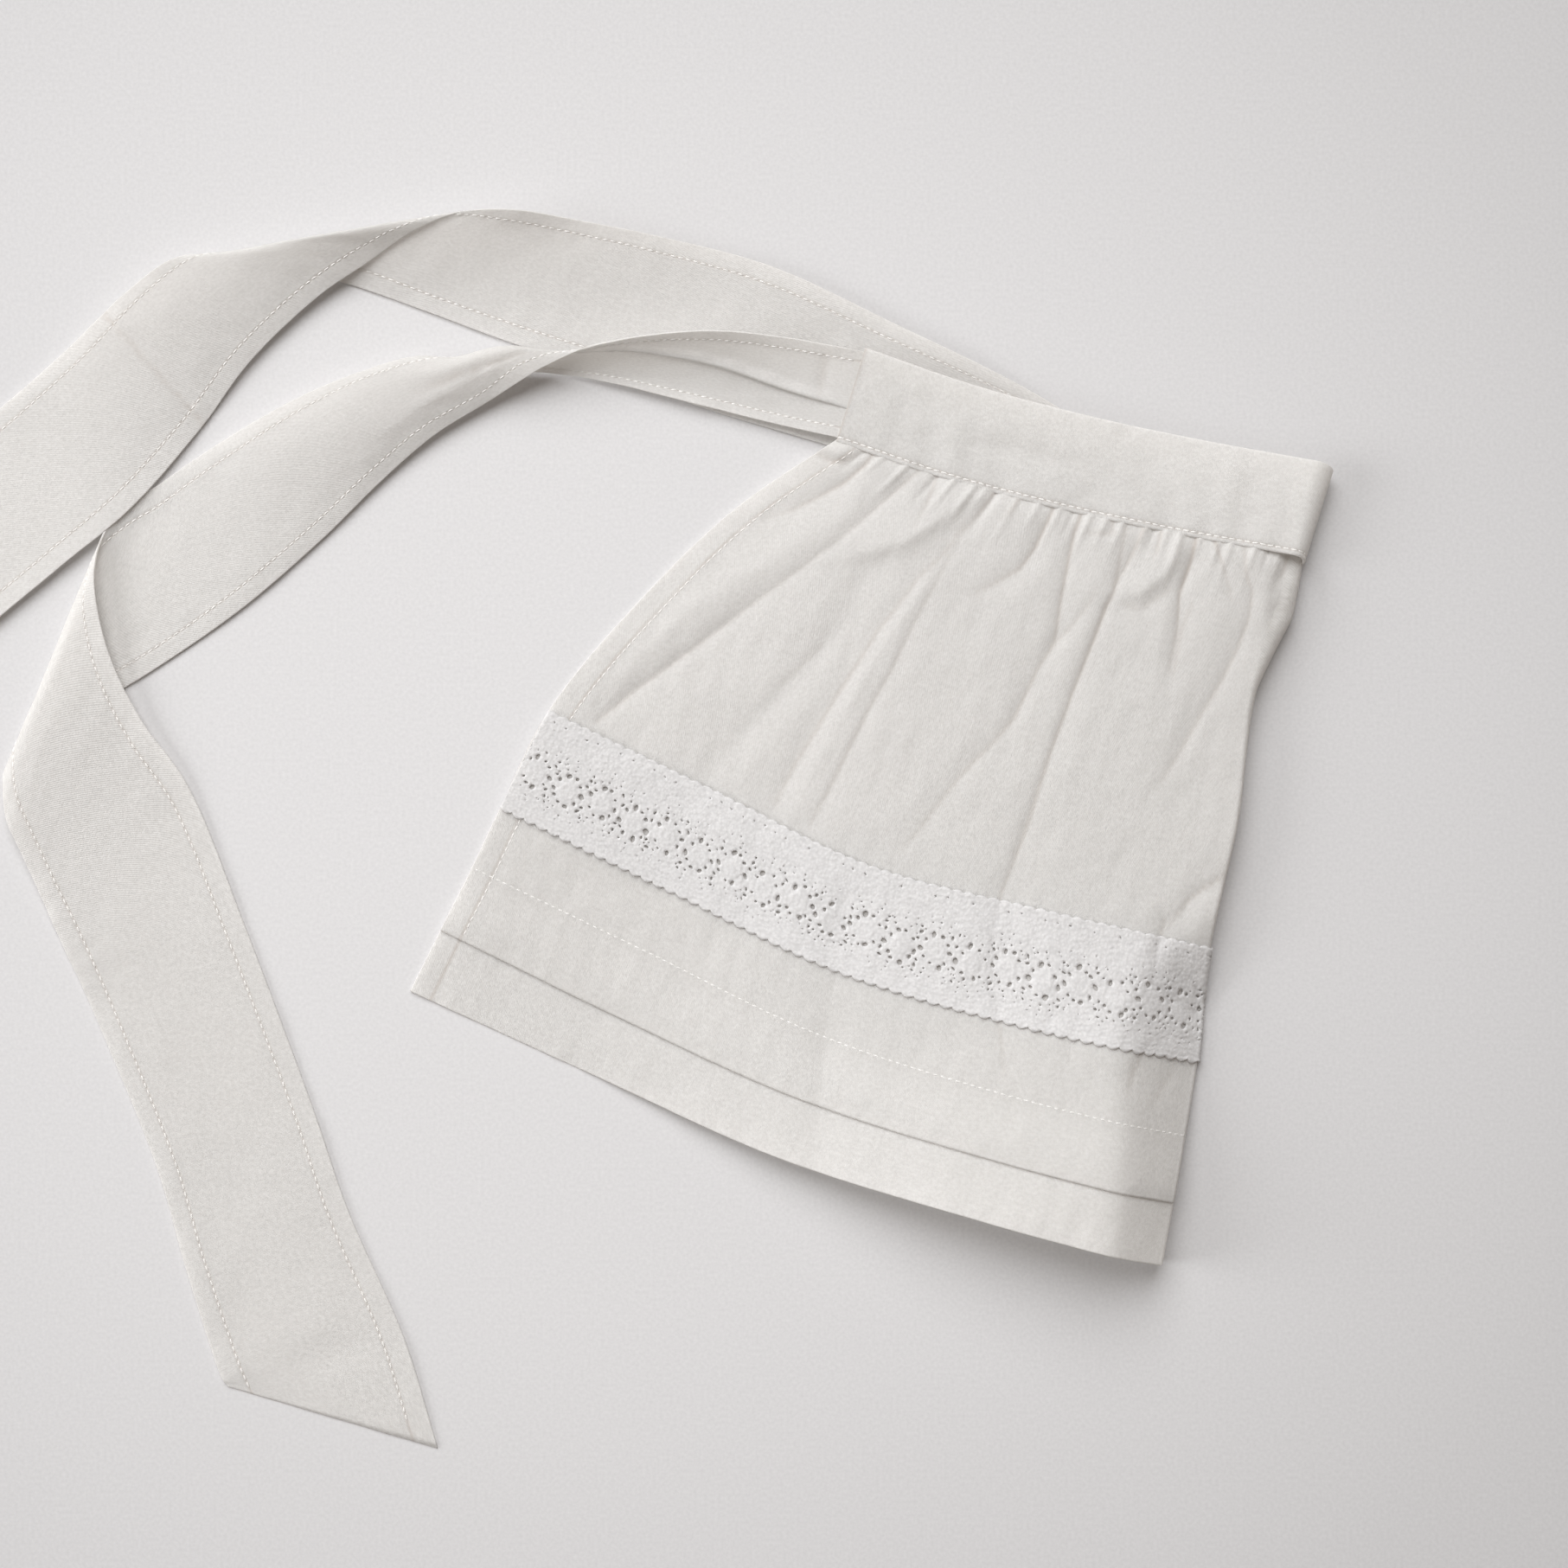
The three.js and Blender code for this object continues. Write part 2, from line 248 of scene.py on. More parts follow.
def cloth_wall(name, grid, normals, half, flat, shade, doubled):
    """A closed sheet of drill with the given half thickness on either side of a grid."""
    rows, columns = grid.shape[:2]
    offset = normals * half[..., None]
    points = np.concatenate([(grid + offset).reshape(-1, 3), (grid - offset).reshape(-1, 3)])
    points[:, 2] = np.maximum(points[:, 2], LOWEST)
    outer = np.arange(rows * columns).reshape(rows, columns)
    inner = outer + rows * columns
    faces = np.concatenate([
        quads(outer[:-1, :-1], outer[1:, :-1], outer[1:, 1:], outer[:-1, 1:]),
        quads(inner[:-1, :-1], inner[:-1, 1:], inner[1:, 1:], inner[1:, :-1]),
        quads(outer[1:, 0], outer[:-1, 0], inner[:-1, 0], inner[1:, 0]),
        quads(outer[:-1, -1], outer[1:, -1], inner[1:, -1], inner[:-1, -1]),
        quads(outer[0, :-1], outer[0, 1:], inner[0, 1:], inner[0, :-1]),
        quads(outer[-1, 1:], outer[-1, :-1], inner[-1, :-1], inner[-1, 1:]),
    ])
    return make_mesh(name, points, faces.tolist(), np.tile(flat.reshape(-1, 2), (2, 1)), drill,
                     shade=np.tile(shade.ravel(), 2), doubled=np.tile(doubled.ravel(), 2))


def soft_noise(u, v, size, seed):
    """A smooth random surface of about unit height, with bumps of the given size."""
    waves = np.random.default_rng(seed)
    total = np.zeros(np.broadcast(u, v).shape)
    for _ in range(WAVES):
        angle = waves.uniform(0, 2 * math.pi)
        length = size * waves.uniform(*WAVE_SPREAD)
        phase = waves.uniform(0, 2 * math.pi)
        total += np.sin(2 * math.pi * (u * math.cos(angle) + v * math.sin(angle)) / length + phase)
    return total / math.sqrt(WAVES / 2)


# Materials
def connect(material, node, links):
    for name, output in links.items():
        material.node_tree.links.new(output, node.inputs[name])


def add_node(material, kind, values, links, **settings):
    """A shader node with its settings, then constants and links by the names of its inputs."""
    node = material.node_tree.nodes.new("ShaderNode" + kind)
    for name, setting in settings.items():
        setattr(node, name, setting)
    for name, value in values.items():
        node.inputs[name].default_value = value
    connect(material, node, links)
    return node


def new_material(name, roughness, specular):
    material = bpy.data.materials.new(name)
    material.use_nodes = True
    shader = material.node_tree.nodes["Principled BSDF"]
    shader.inputs["Roughness"].default_value = roughness
    shader.inputs["Specular IOR Level"].default_value = specular
    return material, shader


def ramp(material, source, stops, interpolation="LINEAR"):
    """The colour output of a ramp through the given positions and colours."""
    node = add_node(material, "ValToRGB", {}, {"Fac": source})
    node.color_ramp.interpolation = interpolation
    while len(node.color_ramp.elements) < len(stops):
        node.color_ramp.elements.new(1.0)
    for element, (position, colour) in zip(node.color_ramp.elements, stops):
        element.position = position
        element.color = (*colour, 1)
    return node.outputs["Color"]


def shaded(material, shader, tint):
    """Base colour: a tint, mixed with a darker colour by the shade of each point."""
    shade = add_node(material, "Attribute", {}, {}, attribute_name="shade")
    mix = add_node(material, "Mix", {"B": (*SHADE_COLOUR, 1)},
                   {"Factor": shade.outputs["Fac"], "A": tint}, data_type="RGBA")
    connect(material, shader, {"Base Color": mix.outputs["Result"]})


def see_through(material, single, twofold):
    """Let a share of the light through the cloth, from the share of one layer to that of a doubled one."""
    nodes = material.node_tree.nodes
    doubled = add_node(material, "Attribute", {}, {}, attribute_name="doubled")
    share = add_node(material, "MapRange", {"To Min": single, "To Max": twofold},
                     {"Value": doubled.outputs["Fac"]})
    through = add_node(material, "BsdfTranslucent", {"Color": (*THROUGH_COLOUR, 1)}, {})
    mix = add_node(material, "MixShader", {}, {"Fac": share.outputs["Result"],
                                               1: nodes["Principled BSDF"].outputs["BSDF"],
                                               2: through.outputs["BSDF"]})
    connect(material, nodes["Material Output"], {"Surface": mix.outputs["Shader"]})


def cotton(name, low, high, twill):
    """Matt cotton between two colours, with a twill weave and some fuzz."""
    material, shader = new_material(name, roughness=0.92, specular=0.18)
    place = {"Vector": add_node(material, "TexCoord", {}, {}).outputs["UV"]}
    mottle = add_node(material, "TexNoise", {"Scale": 8.0, "Detail": 4.0, "Roughness": 0.7}, place)
    shaded(material, shader, ramp(material, mottle.outputs["Fac"], [(0.36, low), (0.64, high)]))
    weave = add_node(material, "TexWave",
                     {"Scale": twill, "Distortion": 1.2, "Detail": 2.0, "Detail Scale": 3.0},
                     place, bands_direction="DIAGONAL")
    fuzz = add_node(material, "TexNoise", {"Scale": 14.0, "Detail": 4.0}, place)
    fine = add_node(material, "Bump", {"Strength": 0.35, "Distance": 0.00025},
                    {"Height": weave.outputs["Fac"]})
    coarse = add_node(material, "Bump", {"Strength": 0.35, "Distance": 0.0004},
                      {"Height": fuzz.outputs["Fac"], "Normal": fine.outputs["Normal"]})
    connect(material, shader, {"Normal": coarse.outputs["Normal"]})
    return material


def lace_cotton(name, low, high):
    """Matt cotton lace, paler in the middle of each thread, with painted shade in the gaps between the
    threads.
    """
    material, shader = new_material(name, roughness=0.95, specular=0.12)
    place = add_node(material, "TexCoord", {}, {}).outputs["UV"]
    threads = add_node(material, "TexVoronoi", {"Scale": 11.0, "Smoothness": 0.4}, {"Vector": place},
                       feature="SMOOTH_F1")
    # Painted shade: the colour darkens away from each thread's middle into the gaps between threads
    shaded(material, shader, ramp(material, threads.outputs["Distance"], [(0.1, high), (0.75, low)]))
    bump = add_node(material, "Bump", {"Strength": 0.35, "Distance": 0.0003},
                    {"Height": threads.outputs["Distance"]}, invert=True)
    connect(material, shader, {"Normal": bump.outputs["Normal"]})
    return material


drill = cotton("cotton_drill_weave", (0.83, 0.824, 0.814), (0.99, 0.987, 0.98), twill=8.9)
thread = cotton("cotton_thread_twist", (0.86, 0.846, 0.824), (0.92, 0.906, 0.882), twill=12.0)
lacing = lace_cotton("cotton_lace_threads", (0.80, 0.795, 0.80), (0.925, 0.918, 0.922))
see_through(drill, single=0.46, twofold=0.42)
see_through(lacing, single=0.28, twofold=0.28)

# The front of the skirt: for each line across it the share down, then five points from side hem to fold
SKIRT_LINES = np.array([
    [0.0, 17, 111, 5.0, 52, 99, 6.0, 89, 89, 7.5, 126, 81, 8.5, 164, 74, 10.0],
    [0.18, -17, 88, 1.5, 26, 68, 6.0, 69, 50, 8.0, 112, 41, 9.5, 150, 31, 9.2],
    [0.36, -47, 59, 0.9, 1, 35, 4.5, 48, 12, 7.5, 98, 0, 9.8, 145, -10, 9.6],
    [LACE_TOP, -76, 24, 0.9, -24, -1, 2.5, 28, -26, 7.0, 83, -40, 10.5, 136, -52, 12.0],
    [LACE_FOOT, -92, -8, 0.9, -37, -35, 1.2, 18, -61, 7.0, 76, -78, 13.5, 132, -90, 18.8],
    [TUCK_SEAM, -101, -27, 0.9, -45, -54, 1.0, 12, -81, 7.0, 70, -99, 15.5, 128, -113, 21.2],
    [TUCK_EDGE, -111, -47, 0.9, -54, -75, 0.9, 5, -101, 8.0, 65, -119, 18.5, 124, -134, 23.6],
    [1.0, -121, -67, 0.8, -62, -94, 0.8, -2, -120, 8.6, 60, -138, 21.0, 120, -154, 25.4],
])

# Ridges and valleys of the skirt: west and east half widths, sharpness, then photo places with the rise
SKIRT_FOLDS = [
    (3.0, 2.2, 1.6, [(955, 512, 0.5), (972, 519, 1.0), (990, 515, 0.6)]),
    (1.8, 2.4, 1.3, [(946, 523, -0.5), (958, 531, -0.9), (974, 533, -0.9), (992, 523, -0.5)]),
    (3.0, 2.6, 1.0, [(1012, 521, -1.23), (1000, 537, -1.23), (977, 557, -1.04), (950, 572, -0.85),
        (917, 588, -0.57), (880, 600, -0.14)]),
    (6.0, 11.0, 1.6, [(1028, 532, 0.19), (1000, 563, 0.44), (970, 597, 0.64), (933, 623, 0.83),
        (897, 650, 0.95), (857, 668, 1.02), (805, 700, 1.02), (755, 745, 0.95), (715, 790, 0.58)]),
    (8.0, 11.0, 1.0, [(1065, 541, -0.74), (1042, 563, -0.85), (1008, 592, -0.85), (973, 622, -0.85),
        (933, 652, -0.92), (867, 700, -1.04), (800, 750, -1.1), (733, 798, -1.04), (687, 835, -0.74)]),
    (1.8, 1.2, 1.0, [(1065, 541, -0.63), (1042, 563, -0.54), (973, 622, -0.36), (867, 700, -0.45),
        (800, 750, -0.63), (733, 798, -0.72), (687, 835, -0.54)]),
    (2.5, 4.0, 1.0, [(1083, 552, -0.8), (1073, 580, -0.6), (1058, 607, -0.15)]),
    (12.0, 2.6, 1.3, [(1122, 560, 0.5), (1107, 585, 0.9), (1073, 610, 1.3), (1043, 628, 1.3),
        (1007, 637, 0.9), (973, 645, 0.3)]),
    (6.0, 6.0, 1.6, [(1003, 662, -0.6), (980, 710, -0.9), (960, 744, -0.9), (930, 781, -0.9),
        (897, 814, -0.9), (860, 851, -0.8), (824, 897, -0.4)]),
    (1.2, 2.0, 1.0, [(950, 746, -0.25), (925, 772, -0.35), (903, 793, -0.2)]),
    (6.0, 4.0, 1.4, [(1115, 607, -0.41), (1092, 640, -0.54), (1062, 668, -0.63), (1040, 698, -0.67),
        (1013, 732, -0.76), (993, 765, -0.85), (967, 805, -0.85), (943, 845, -0.81), (917, 888, -0.72),
        (896, 930, -0.41)]),
    (4.0, 2.2, 1.5, [(1110, 625, 0.17), (1064, 684, 0.3), (1025, 742, 0.33), (988, 803, 0.33),
        (948, 880, 0.23), (925, 930, 0.13)]),
    (1.3, 4.0, 1.0, [(1100, 640, -0.29), (1058, 718, -0.43), (1030, 776, -0.57), (1003, 823, -0.64),
        (983, 863, -0.64), (960, 910, -0.64), (937, 953, -0.43)]),
    (2.0, 3.0, 1.0, [(1150, 570, -0.9), (1130, 596, -0.7), (1112, 618, -0.3)]),
    (2.0, 2.5, 1.0, [(1178, 577, -0.9), (1170, 590, -0.6), (1156, 602, -0.2)]),
    (2.6, 4.0, 1.0, [(1220, 583, -1.3), (1213, 600, -1.3), (1197, 633, -1.2), (1180, 657, -1.1),
        (1153, 673, -0.8), (1127, 687, -0.3)]),
    (2.2, 3.6, 1.0, [(1250, 594, -1.3), (1242, 617, -1.3), (1235, 650, -1.2), (1227, 690, -1.1),
        (1220, 737, -0.9), (1214, 750, -0.4)]),
    (3.2, 3.5, 1.0, [(1268, 680, -0.14), (1260, 697, -0.43), (1240, 723, -0.64), (1222, 742, -0.71),
        (1203, 767, -0.85), (1187, 800, -0.92), (1173, 830, -0.92), (1150, 857, -0.78), (1117, 890, -0.71),
        (1090, 923, -0.64), (1057, 967, -0.43), (1038, 985, -0.14)]),
    (2.4, 8.0, 1.0, [(1302, 607, -0.5), (1287, 687, -0.85), (1278, 703, -0.95), (1267, 733, -0.9),
        (1240, 800, -0.8), (1213, 873, -0.75), (1190, 950, -0.75), (1157, 1033, -0.75), (1148, 1075, -0.7),
        (1146, 1110, -0.7), (1149, 1150, -0.65), (1155, 1190, -0.6), (1160, 1245, -0.2)]),
    (1.3, 1.6, 1.2, [(1292, 670, -0.2), (1278, 703, -0.45), (1253, 767, -0.3), (1213, 873, -0.25),
        (1173, 990, -0.2)]),
    (2.0, 3.0, 1.0, [(1323, 610, -0.9), (1312, 635, -0.9), (1300, 658, -0.8), (1292, 672, -0.4)]),
    (1.5, 1.5, 1.5, [(1260, 617, -0.4), (1275, 618, -0.6), (1290, 617, -0.4)]),
    (1.3, 1.6, 1.0, [(1287, 602, -0.9), (1285, 616, -0.4)]),
    (1.8, 2.2, 1.0, [(1343, 614, -1.0), (1338, 634, -0.8), (1333, 650, -0.2)]),
    (5.0, 2.0, 1.5, [(1362, 626, 0.45), (1358, 646, 0.78), (1340, 670, 0.98), (1317, 686, 0.91),
        (1293, 690, 0.39)]),
    (2.5, 3.5, 1.2, [(1352, 682, -0.42), (1322, 702, -0.56), (1298, 702, -0.35)]),
    (1.8, 3.0, 1.0, [(1383, 620, -1.6), (1377, 647, -1.8), (1368, 673, -1.6), (1363, 687, -1.2),
        (1360, 730, -0.7), (1350, 778, -0.3)]),
    (4.0, 6.0, 1.5, [(1377, 700, -0.5), (1366, 727, -0.7), (1356, 780, -0.4)]),
    (1.6, 2.2, 1.0, [(1405, 627, -1.6), (1408, 640, -1.0), (1413, 653, -0.6), (1423, 693, -0.3)]),
    (2.6, 2.2, 1.0, [(1438, 634, -0.65), (1440, 667, -0.71), (1447, 683, -0.71), (1444, 713, -0.71),
        (1429, 753, -0.77), (1412, 787, -0.77), (1392, 820, -0.77), (1375, 850, -0.71), (1355, 883, -0.65),
        (1339, 907, -0.32)]),
    (1.6, 2.0, 1.0, [(1490, 640, -1.0), (1484, 660, -0.9), (1478, 672, -0.3)]),
    (1.8, 1.8, 1.5, [(1497, 655, 0.8), (1487, 675, 0.9), (1477, 695, 0.4)]),
    (2.0, 5.0, 1.0, [(1436, 998, -0.52), (1413, 1013, -0.91), (1390, 1027, -0.98), (1373, 1040, -0.85),
        (1350, 1070, -0.45)]),
    (1.5, 2.5, 1.0, [(1320, 1212, -0.6), (1308, 1235, -0.7), (1300, 1262, -0.3)]),
    (2.0, 2.5, 1.0, [(1362, 1228, -0.3), (1345, 1252, -0.6), (1328, 1276, -0.3)]),
    (2.0, 2.5, 1.0, [(1345, 1065, -0.7), (1336, 1100, -0.8), (1330, 1140, -0.3)]),
    (6.0, 9.0, 1.3, [(985, 1010, -0.2), (955, 1195, -0.9), (948, 1285, -0.9), (940, 1350, -0.5)]),
]

# Where the cloth turns down towards the fold: photo places with the slope beyond each
FOLD_SIDES = [
    (2.0, [(1462, 630, 0.45), (1465, 717, 0.55), (1458, 790, 0.28), (1450, 850, 0.05)]),
    (5.0, [(1450, 975, 0.0), (1430, 1040, 0.34), (1388, 1072, 0.52), (1345, 1098, 0.59),
        (1316, 1136, 0.62), (1302, 1190, 0.65), (1297, 1240, 0.68), (1296, 1310, 0.71), (1290, 1390, 0.8),
        (1282, 1460, 0.86)]),
]

# Short gathers under the waistband: share across the front, length down, rise
PUCKERS = [
    (0.07, 9, -0.8), (0.11, 7, 0.7), (0.165, 12, 0.9), (0.235, 9, -0.9), (0.27, 11, 0.8), (0.315, 12, 0.9),
    (0.34, 9, 0.6), (0.365, 11, -0.9), (0.41, 13, 0.7), (0.455, 8, 0.6), (0.5, 11, 0.8), (0.53, 8, -0.7),
    (0.565, 12, 0.8), (0.6, 7, 0.8), (0.635, 8, 0.9), (0.685, 9, 0.9), (0.705, 7, -0.8), (0.73, 10, 0.8),
    (0.76, 12, 0.9), (0.8, 9, 0.8), (0.84, 8, 0.8), (0.865, 10, 0.7), (0.915, 8, 0.9), (0.945, 7, -0.8),
    (0.97, 8, 0.8),
]
CRUMPLES = [(0.1, 30.0), (0.05, 9.0), (0.018, 4.0)]
CRUMPLE_START = 20.0
CRUMPLE_SEED = 3
PUCKER_HALF = 1.1
PUCKER_GAIN = 0.75
SEAM_DIP = 0.05
SEAM_DIP_REACH = 2.0
SEAM_CALM = 0.4
SEAM_CALM_REACH = 9.0
PUFF = 1.1
PUFF_START = 3.0
PUFF_END = 34.0

# Columns of the skirt, and rows: where each span of rows starts, as a share down, and how many it has
FRONT_COLUMNS = 275
FOLD_COLUMNS = 10
BACK_COLUMNS = 18
SIDE_EDGE = [0, 0.0006, 0.0014, 0.003]
SIDE_PLAIN_START = 0.006
ROW_SPANS = [(0.0, 22), (0.1, 62), (LACE_TOP, 20), (LACE_FOOT, 9), (TUCK_SEAM - 0.008, 8)]
LAST_ROWS = 9
HEM_ROWS = 11
HEM_TOP = 0.9 / SKIRT_LENGTH
HEM_PLAIN_END = 0.994
HEM_EDGE = [0.9965, 0.998, 0.999, 1.0]

# The tuck is rolled back under its edge, then down again: shares of the roll at each row
ROLL = 0.3 / SKIRT_LENGTH
UNDER = 3.0 / SKIRT_LENGTH
ROLL_BACK = np.array([1, 0.3, 0, 0.3, 1])
ROLL_DOWN = np.array([0, 0.7, 1, 0.7, 0])

span_ends = [start for start, _ in ROW_SPANS[1:]] + [TUCK_FULL]
body_spans = [np.linspace(start, end, count, endpoint=False)
              for (start, count), end in zip(ROW_SPANS, span_ends)]
body_downs = np.concatenate(body_spans + [np.linspace(TUCK_FULL, TUCK_EDGE - 2 * ROLL, LAST_ROWS)])
tuck_downs = np.concatenate([TUCK_EDGE - ROLL * ROLL_BACK, TUCK_EDGE - UNDER - ROLL * ROLL_DOWN])
tuck_lifts = np.concatenate([np.linspace(1, 0.5, len(ROLL_BACK)), np.linspace(0.5, 0, len(ROLL_DOWN))])
hem_downs = np.concatenate([np.linspace(TUCK_EDGE - HEM_TOP, HEM_PLAIN_END, HEM_ROWS), HEM_EDGE])
row_downs = np.concatenate([body_downs, tuck_downs, hem_downs])
body_lifts = smoothstep(body_downs, TUCK_SEAM, TUCK_FULL)
row_lifts = TUCK_LIFT * np.concatenate([body_lifts, tuck_lifts, np.zeros(len(hem_downs))])
front_shares = np.concatenate([SIDE_EDGE, np.linspace(SIDE_PLAIN_START, 1, FRONT_COLUMNS)])
first_fold = len(front_shares)
fold_turns = np.linspace(0, math.pi, FOLD_COLUMNS + 2)[1:-1]
line_downs = SKIRT_LINES[:, 0]
line_points = SKIRT_LINES[:, 1:].reshape(len(SKIRT_LINES), -1, 3)


def station_points(down):
    """The points across the skirt at a share down, between those of its lines."""
    row = min(int(np.searchsorted(line_downs, down, side="right")) - 1, len(line_downs) - 2)
    stop = (row + (down - line_downs[row]) / (line_downs[row + 1] - line_downs[row])) / (len(line_downs) - 1)
    return np.array([smooth_curve(line_points[:, k], [stop])[0] for k in range(line_points.shape[1])])


def skirt_front(stations, down):
    """The front of one row of the skirt, from side hem to fold, with its folds, gathers and crumples."""
    points = smooth_curve(stations, front_shares)
    plan = points[:, :2]
    drop = down * SKIRT_LENGTH
    calm = SEAM_CALM + (1 - SEAM_CALM) * smoothstep(drop, 0, SEAM_CALM_REACH)
    height = points[:, 2] + calm * fold_height(plan, SKIRT_FOLDS)
    for softness, places in FOLD_SIDES:
        signed, slope = beside_line(plan, places)
        height -= slope * (signed + np.hypot(signed, softness)) / 2
    width = np.linalg.norm(plan[-1] - plan[0])
    for share, length, rise in PUCKERS:
        height += PUCKER_GAIN * rise * bell((front_shares - share) * width, PUCKER_HALF) * bell(drop, length)
    height -= SEAM_DIP * math.exp(-drop / SEAM_DIP_REACH)
    height += PUFF * (1 - bell(drop, PUFF_START)) * bell(drop, PUFF_END)
    for rise, size in CRUMPLES:
        crumple = soft_noise(plan[:, 0], plan[:, 1], size, CRUMPLE_SEED)
        height += rise * crumple * min(drop / CRUMPLE_START, 1)
    points[:, 2] = np.maximum(height, HEMMED + LOWEST)
    return points


def back_level(down):
    over_lace = smoothstep(down, LACE_TOP - LACE_STEP, LACE_TOP)
    over_lace -= smoothstep(down, LACE_FOOT, LACE_FOOT + LACE_STEP)
    return ONE_LAYER + LOWEST + over_lace * (LACE_HEIGHT + LACE_SEAT)


def turn_under(front, outward, reach, skew, under):
    """The arc of the fold from the front's last point down to the part turned under."""
    edge = front[-1]
    arc = np.tile(edge, (len(fold_turns), 1))
    arc[:, :2] += np.outer(np.sin(fold_turns) * reach, outward) + np.outer((1 - np.cos(fold_turns)) / 2, skew)
    arc[:, 2] = (edge[2] + under) / 2 + (edge[2] - under) / 2 * np.cos(fold_turns)
    return arc


skirt_rows = []
for down, lift in zip(row_downs, row_lifts):
    stations = station_points(down)
    under = back_level(down)
    front = skirt_front(stations, down)
    room = LAYER_ROOM * smoothstep(front_shares, *LAYER_ROOM_SHARES)
    front[:, 2] = np.maximum(front[:, 2] + lift, under + room)
    outward = unit(stations[-1, :2] - stations[-2, :2])
    arc = turn_under(front, outward, np.interp(down, FOLD_REACH_DOWN, FOLD_REACH), np.zeros(2), under)
    back_share = BACK_SHARE_WAIST + (BACK_SHARE_HEM - BACK_SHARE_WAIST) * down
    back = smooth_curve(stations, np.linspace(1, 1 - back_share, BACK_COLUMNS))
    back[:, 2] = under
    skirt_rows.append(np.concatenate([front, arc, back]))
skirt_grid = np.array(skirt_rows)
skirt_normals = grid_normals(skirt_grid)

# Thickness of the skirt: doubled along the side hem and the bottom hem, and rounded at their edges
hem_row = len(row_downs) - len(hem_downs)
from_side = np.full(skirt_grid.shape[:2], FAR_FROM_HEM)
from_side[:, :first_fold] = [run_length(row) for row in skirt_grid[:, :first_fold, :2]]
to_hem = np.full(skirt_grid.shape[:2], FAR_FROM_HEM)
to_hem[hem_row:] = ((1 - hem_downs) * SKIRT_LENGTH)[:, None]


def hem_half(distance, width):
    """Half thickness across a hem: round at the edge, doubled to its stitch line and single beyond."""
    groove = 1 - STITCH_GROOVE * bell(distance - width + STITCH_INSET, STITCH_GROOVE_HALF)
    double = 1 - smoothstep(distance, width - HEM_STEP_BEFORE, width + HEM_STEP_AFTER)
    return rounded(distance, EDGE_ROUND) * groove * (ONE_LAYER + (HEMMED - ONE_LAYER) * double)


side_half = np.maximum(hem_half(from_side, SIDE_HEM), ONE_LAYER * (from_side > HEMMED))
bottom_half = np.maximum(hem_half(to_hem, HEM_DEPTH), THINNEST)
bottom_half = np.where(from_side > HEMMED, bottom_half, np.minimum(bottom_half, side_half))
skirt_half = np.where(to_hem < FAR_FROM_HEM, bottom_half, side_half)

flat_row = hem_row + HEM_ROWS // 2
flat_down = np.concatenate([[0], np.cumsum(np.abs(np.diff(row_downs)) * SKIRT_LENGTH)])
skirt_flat = np.stack(np.meshgrid(run_length(skirt_grid[flat_row]), -flat_down), axis=-1)
under_lace = (row_downs > LACE_TOP + 2 * LACE_INSET) & (row_downs < LACE_FOOT - LACE_INSET)
in_hem = (from_side < SIDE_HEM) | (to_hem < HEM_DEPTH)
on_stitches = bell(from_side - SIDE_HEM + STITCH_INSET, STITCH_GROOVE_HALF)
on_stitches += bell((row_downs[:, None] - TUCK_SEAM) * SKIRT_LENGTH, STITCH_GROOVE_HALF)
skirt_shade = HEM_SHADE * in_hem + STITCH_SHADE * np.minimum(on_stitches, 1)
skirt_shade[:, :first_fold] += crease_shade(skirt_grid[:, :first_fold, :2], SKIRT_FOLDS)
skirt_shade[under_lace] = LACE_SHADE
skirt = cloth_wall("skirt_cloth", skirt_grid, skirt_normals, skirt_half, skirt_flat, skirt_shade,
                   1.0 * in_hem)


def on_skirt(column, row):
    """Points, outward directions and half thicknesses of the skirt at fractional columns and rows."""
    c0 = np.clip(column.astype(int), 0, skirt_grid.shape[1] - 2)
    r0 = np.clip(row.astype(int), 0, skirt_grid.shape[0] - 2)
    fc = (column - c0)[:, None]
    fr = (row - r0)[:, None]

    def between(field):
        upper = field[r0, c0] * (1 - fc) + field[r0, c0 + 1] * fc
        lower = field[r0 + 1, c0] * (1 - fc) + field[r0 + 1, c0 + 1] * fc
        return upper * (1 - fr) + lower * fr

    return between(skirt_grid), unit(between(skirt_normals)), between(skirt_half[..., None])[:, 0]


def row_at(down):
    return np.interp(down, body_downs, np.arange(len(body_downs)))


# Waistband: a folded strip that rises from the skirt's gathered edge
BAND_DENTS = [
    (5.0, 4.0, 2.0, [(1030, 435, -0.35), (1052, 460, -0.5), (1075, 470, -0.35)]),
    (4.0, 3.0, 2.0, [(1130, 514, -0.4), (1180, 520, -0.6), (1235, 537, -0.4)]),
    (5.0, 5.0, 2.0, [(1310, 500, -0.4), (1335, 535, -0.4)]),
    (6.0, 6.0, 2.0, [(1420, 540, 0.3), (1410, 590, 0.4)]),
]
BAND_ROWS = 24
BAND_LOWER_EDGE = np.array([0, 0.1, 0.3, 0.7, 1.1, 1.4, 1.7, 2.0, 2.4])
BAND_UPPER_EDGE = np.array([0.9, 0.4, 0.12, 0.0])
BAND_PLAIN_START = 2.6
BAND_PLAIN_END = 1.6
BAND_END_TAPER = 4.0
BAND_END_THIN = 0.85
# Width of the painted shade line at the band's end, where it lies over the tie
BAND_END_SHADE_WIDTH = 0.7
RIPPLE_RISE = 0.2
RIPPLE_SIZE = 13.0
RIPPLE_STRETCH = 0.3
DIMPLE_RISE = 0.035
DIMPLE_SIZE = 8.0
RIPPLE_SEED = 5
DIMPLE_SEED = 6

# Rows of the band, counted from its upper edge, that give its flat length, its end and where the ties start
BAND_TOP_ROW = len(BAND_UPPER_EDGE)
BAND_END_ROW = 10
BAND_FOOT_ROW = -5

